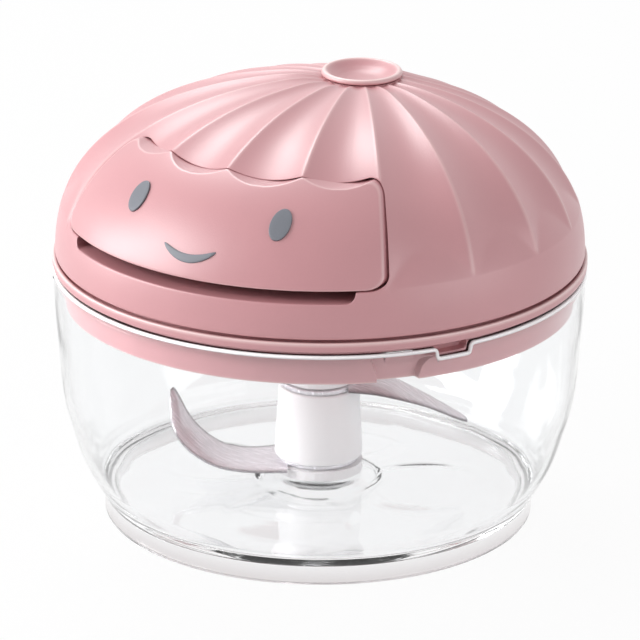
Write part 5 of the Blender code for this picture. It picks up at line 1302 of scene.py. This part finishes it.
def blade_patches(stations, turn, level, bore):
    """A sharpened section carried along the blade's smooth spine, and the flat ring round the column.

    Both of the section's long sides are thinned to a fine edge, and painted shade darkens the steel
    along them.
    """
    spine = smooth_curve(np.array(stations) * BLADE_REACH, 10)
    along, sideways, width, rise, tilt = spine.T[..., None]
    # The section's third column is painted shade, darker at its two edges
    across, thick, edge_shade = BLADE_SECTION.T
    y = sideways + width * across
    z = level + rise + tilt * (0.5 - across) + BLADE_THICKNESS * thick
    points = np.stack((along * math.cos(turn) - y * math.sin(turn),
                       along * math.sin(turn) + y * math.cos(turn), z), -1)
    ends = [np.repeat(points[index].mean(0)[None, None], len(across), 1) for index in (0, -1)]
    arm = np.concatenate((ends[0], points, ends[1]))
    ring = ((bore, level), (bore, level + BLADE_THICKNESS),
            (BLADE_RING_RADIUS, level + BLADE_THICKNESS), (BLADE_RING_RADIUS, level))
    ring = rounded(ring, 0.2 * MM, 4, closed=True)
    return [(arm, True, edge_shade), (turned(ring, 96), True)]


for name, stations, turn, level, bore, node in (
        ("lower_blade", LOWER_BLADE, BLADE_TURN + math.pi, 12.9 * MM, 7.3 * MM, "blade_lower"),
        ("upper_blade", UPPER_BLADE, BLADE_TURN, 33.5 * MM, 5.3 * MM, "blade_upper")):
    piece(name, blade_patches(stations, turn, level, bore), blade_steel, "blades",
          (node,), 30)


# Floor, world and lamps
FLOOR_GLOW = 0.94
WHITE = (1, 1, 1, 1)


def seen_rays(tree, most):
    """Value that is `most` for camera, glossy and transmission rays, and 0 for all others."""
    rays = add(tree, "LightPath").node.outputs
    seen = maths(tree, "MAXIMUM", rays["Is Camera Ray"], rays["Is Glossy Ray"])
    seen = maths(tree, "MAXIMUM", seen, rays["Is Transmission Ray"])
    return maths(tree, "MULTIPLY", seen, most)


def floor_material():
    """Pale floor that looks white to the camera, in mirrors and through clear plastic."""
    made, tree, shader = plain_material("pale_floor", PALE_GREY)
    feed(shader, {"Base Color": PALE_GREY, "Roughness": 0.9})
    glow = add(tree, "Emission", {"Color": WHITE, "Strength": 1.0})
    show(tree, "Material Output", seen_rays(tree, FLOOR_GLOW), shader.outputs["BSDF"], glow)
    return made


floor_mesh = bpy.data.meshes.new("floor")
floor_mesh.from_pydata([(-6, -6, 0), (6, -6, 0), (6, 6, 0), (-6, 6, 0)], [], [(0, 1, 2, 3)])
floor_mesh.materials.append(floor_material())
floor = placed("floor", floor_mesh)

world = bpy.data.worlds.new("studio")
bpy.context.scene.world = world
world.use_nodes = True
sky = world.node_tree
dim = sky.nodes["Background"]
feed(dim, {"Color": (1, 0.99, 1, 1), "Strength": 0.41})
bright = add(sky, "Background", {"Color": WHITE, "Strength": 1.0})
show(sky, "World Output", seen_rays(sky, 1.0), dim.outputs["Background"], bright)

# Square softboxes: place, size and power, all turned to face the dome
LAMP_AIM = np.array((0, 0, 0.07))
for name, place, size, power in (
        ("key_softbox", (-0.70, -0.65, 0.52), 0.60, 7.6),
        ("left_softbox", (-1.10, -0.42, 0.20), 0.45, 3.9),
        ("top_softbox", (-0.50, 0.40, 0.90), 0.45, 4.5),
        ("fill_softbox", (1.20, 0.05, 0.25), 1.0, 4.2)):
    lamp = bpy.data.lights.new(name, "AREA")
    lamp.size = size
    lamp.energy = power
    holder = placed(name, lamp)
    away = unit(np.array(place) - LAMP_AIM)
    holder.location = place
    holder.rotation_euler = (math.acos(away[2]), 0, math.atan2(away[1], away[0]) + math.pi / 2)

bpy.context.scene.view_settings.view_transform = "Standard"
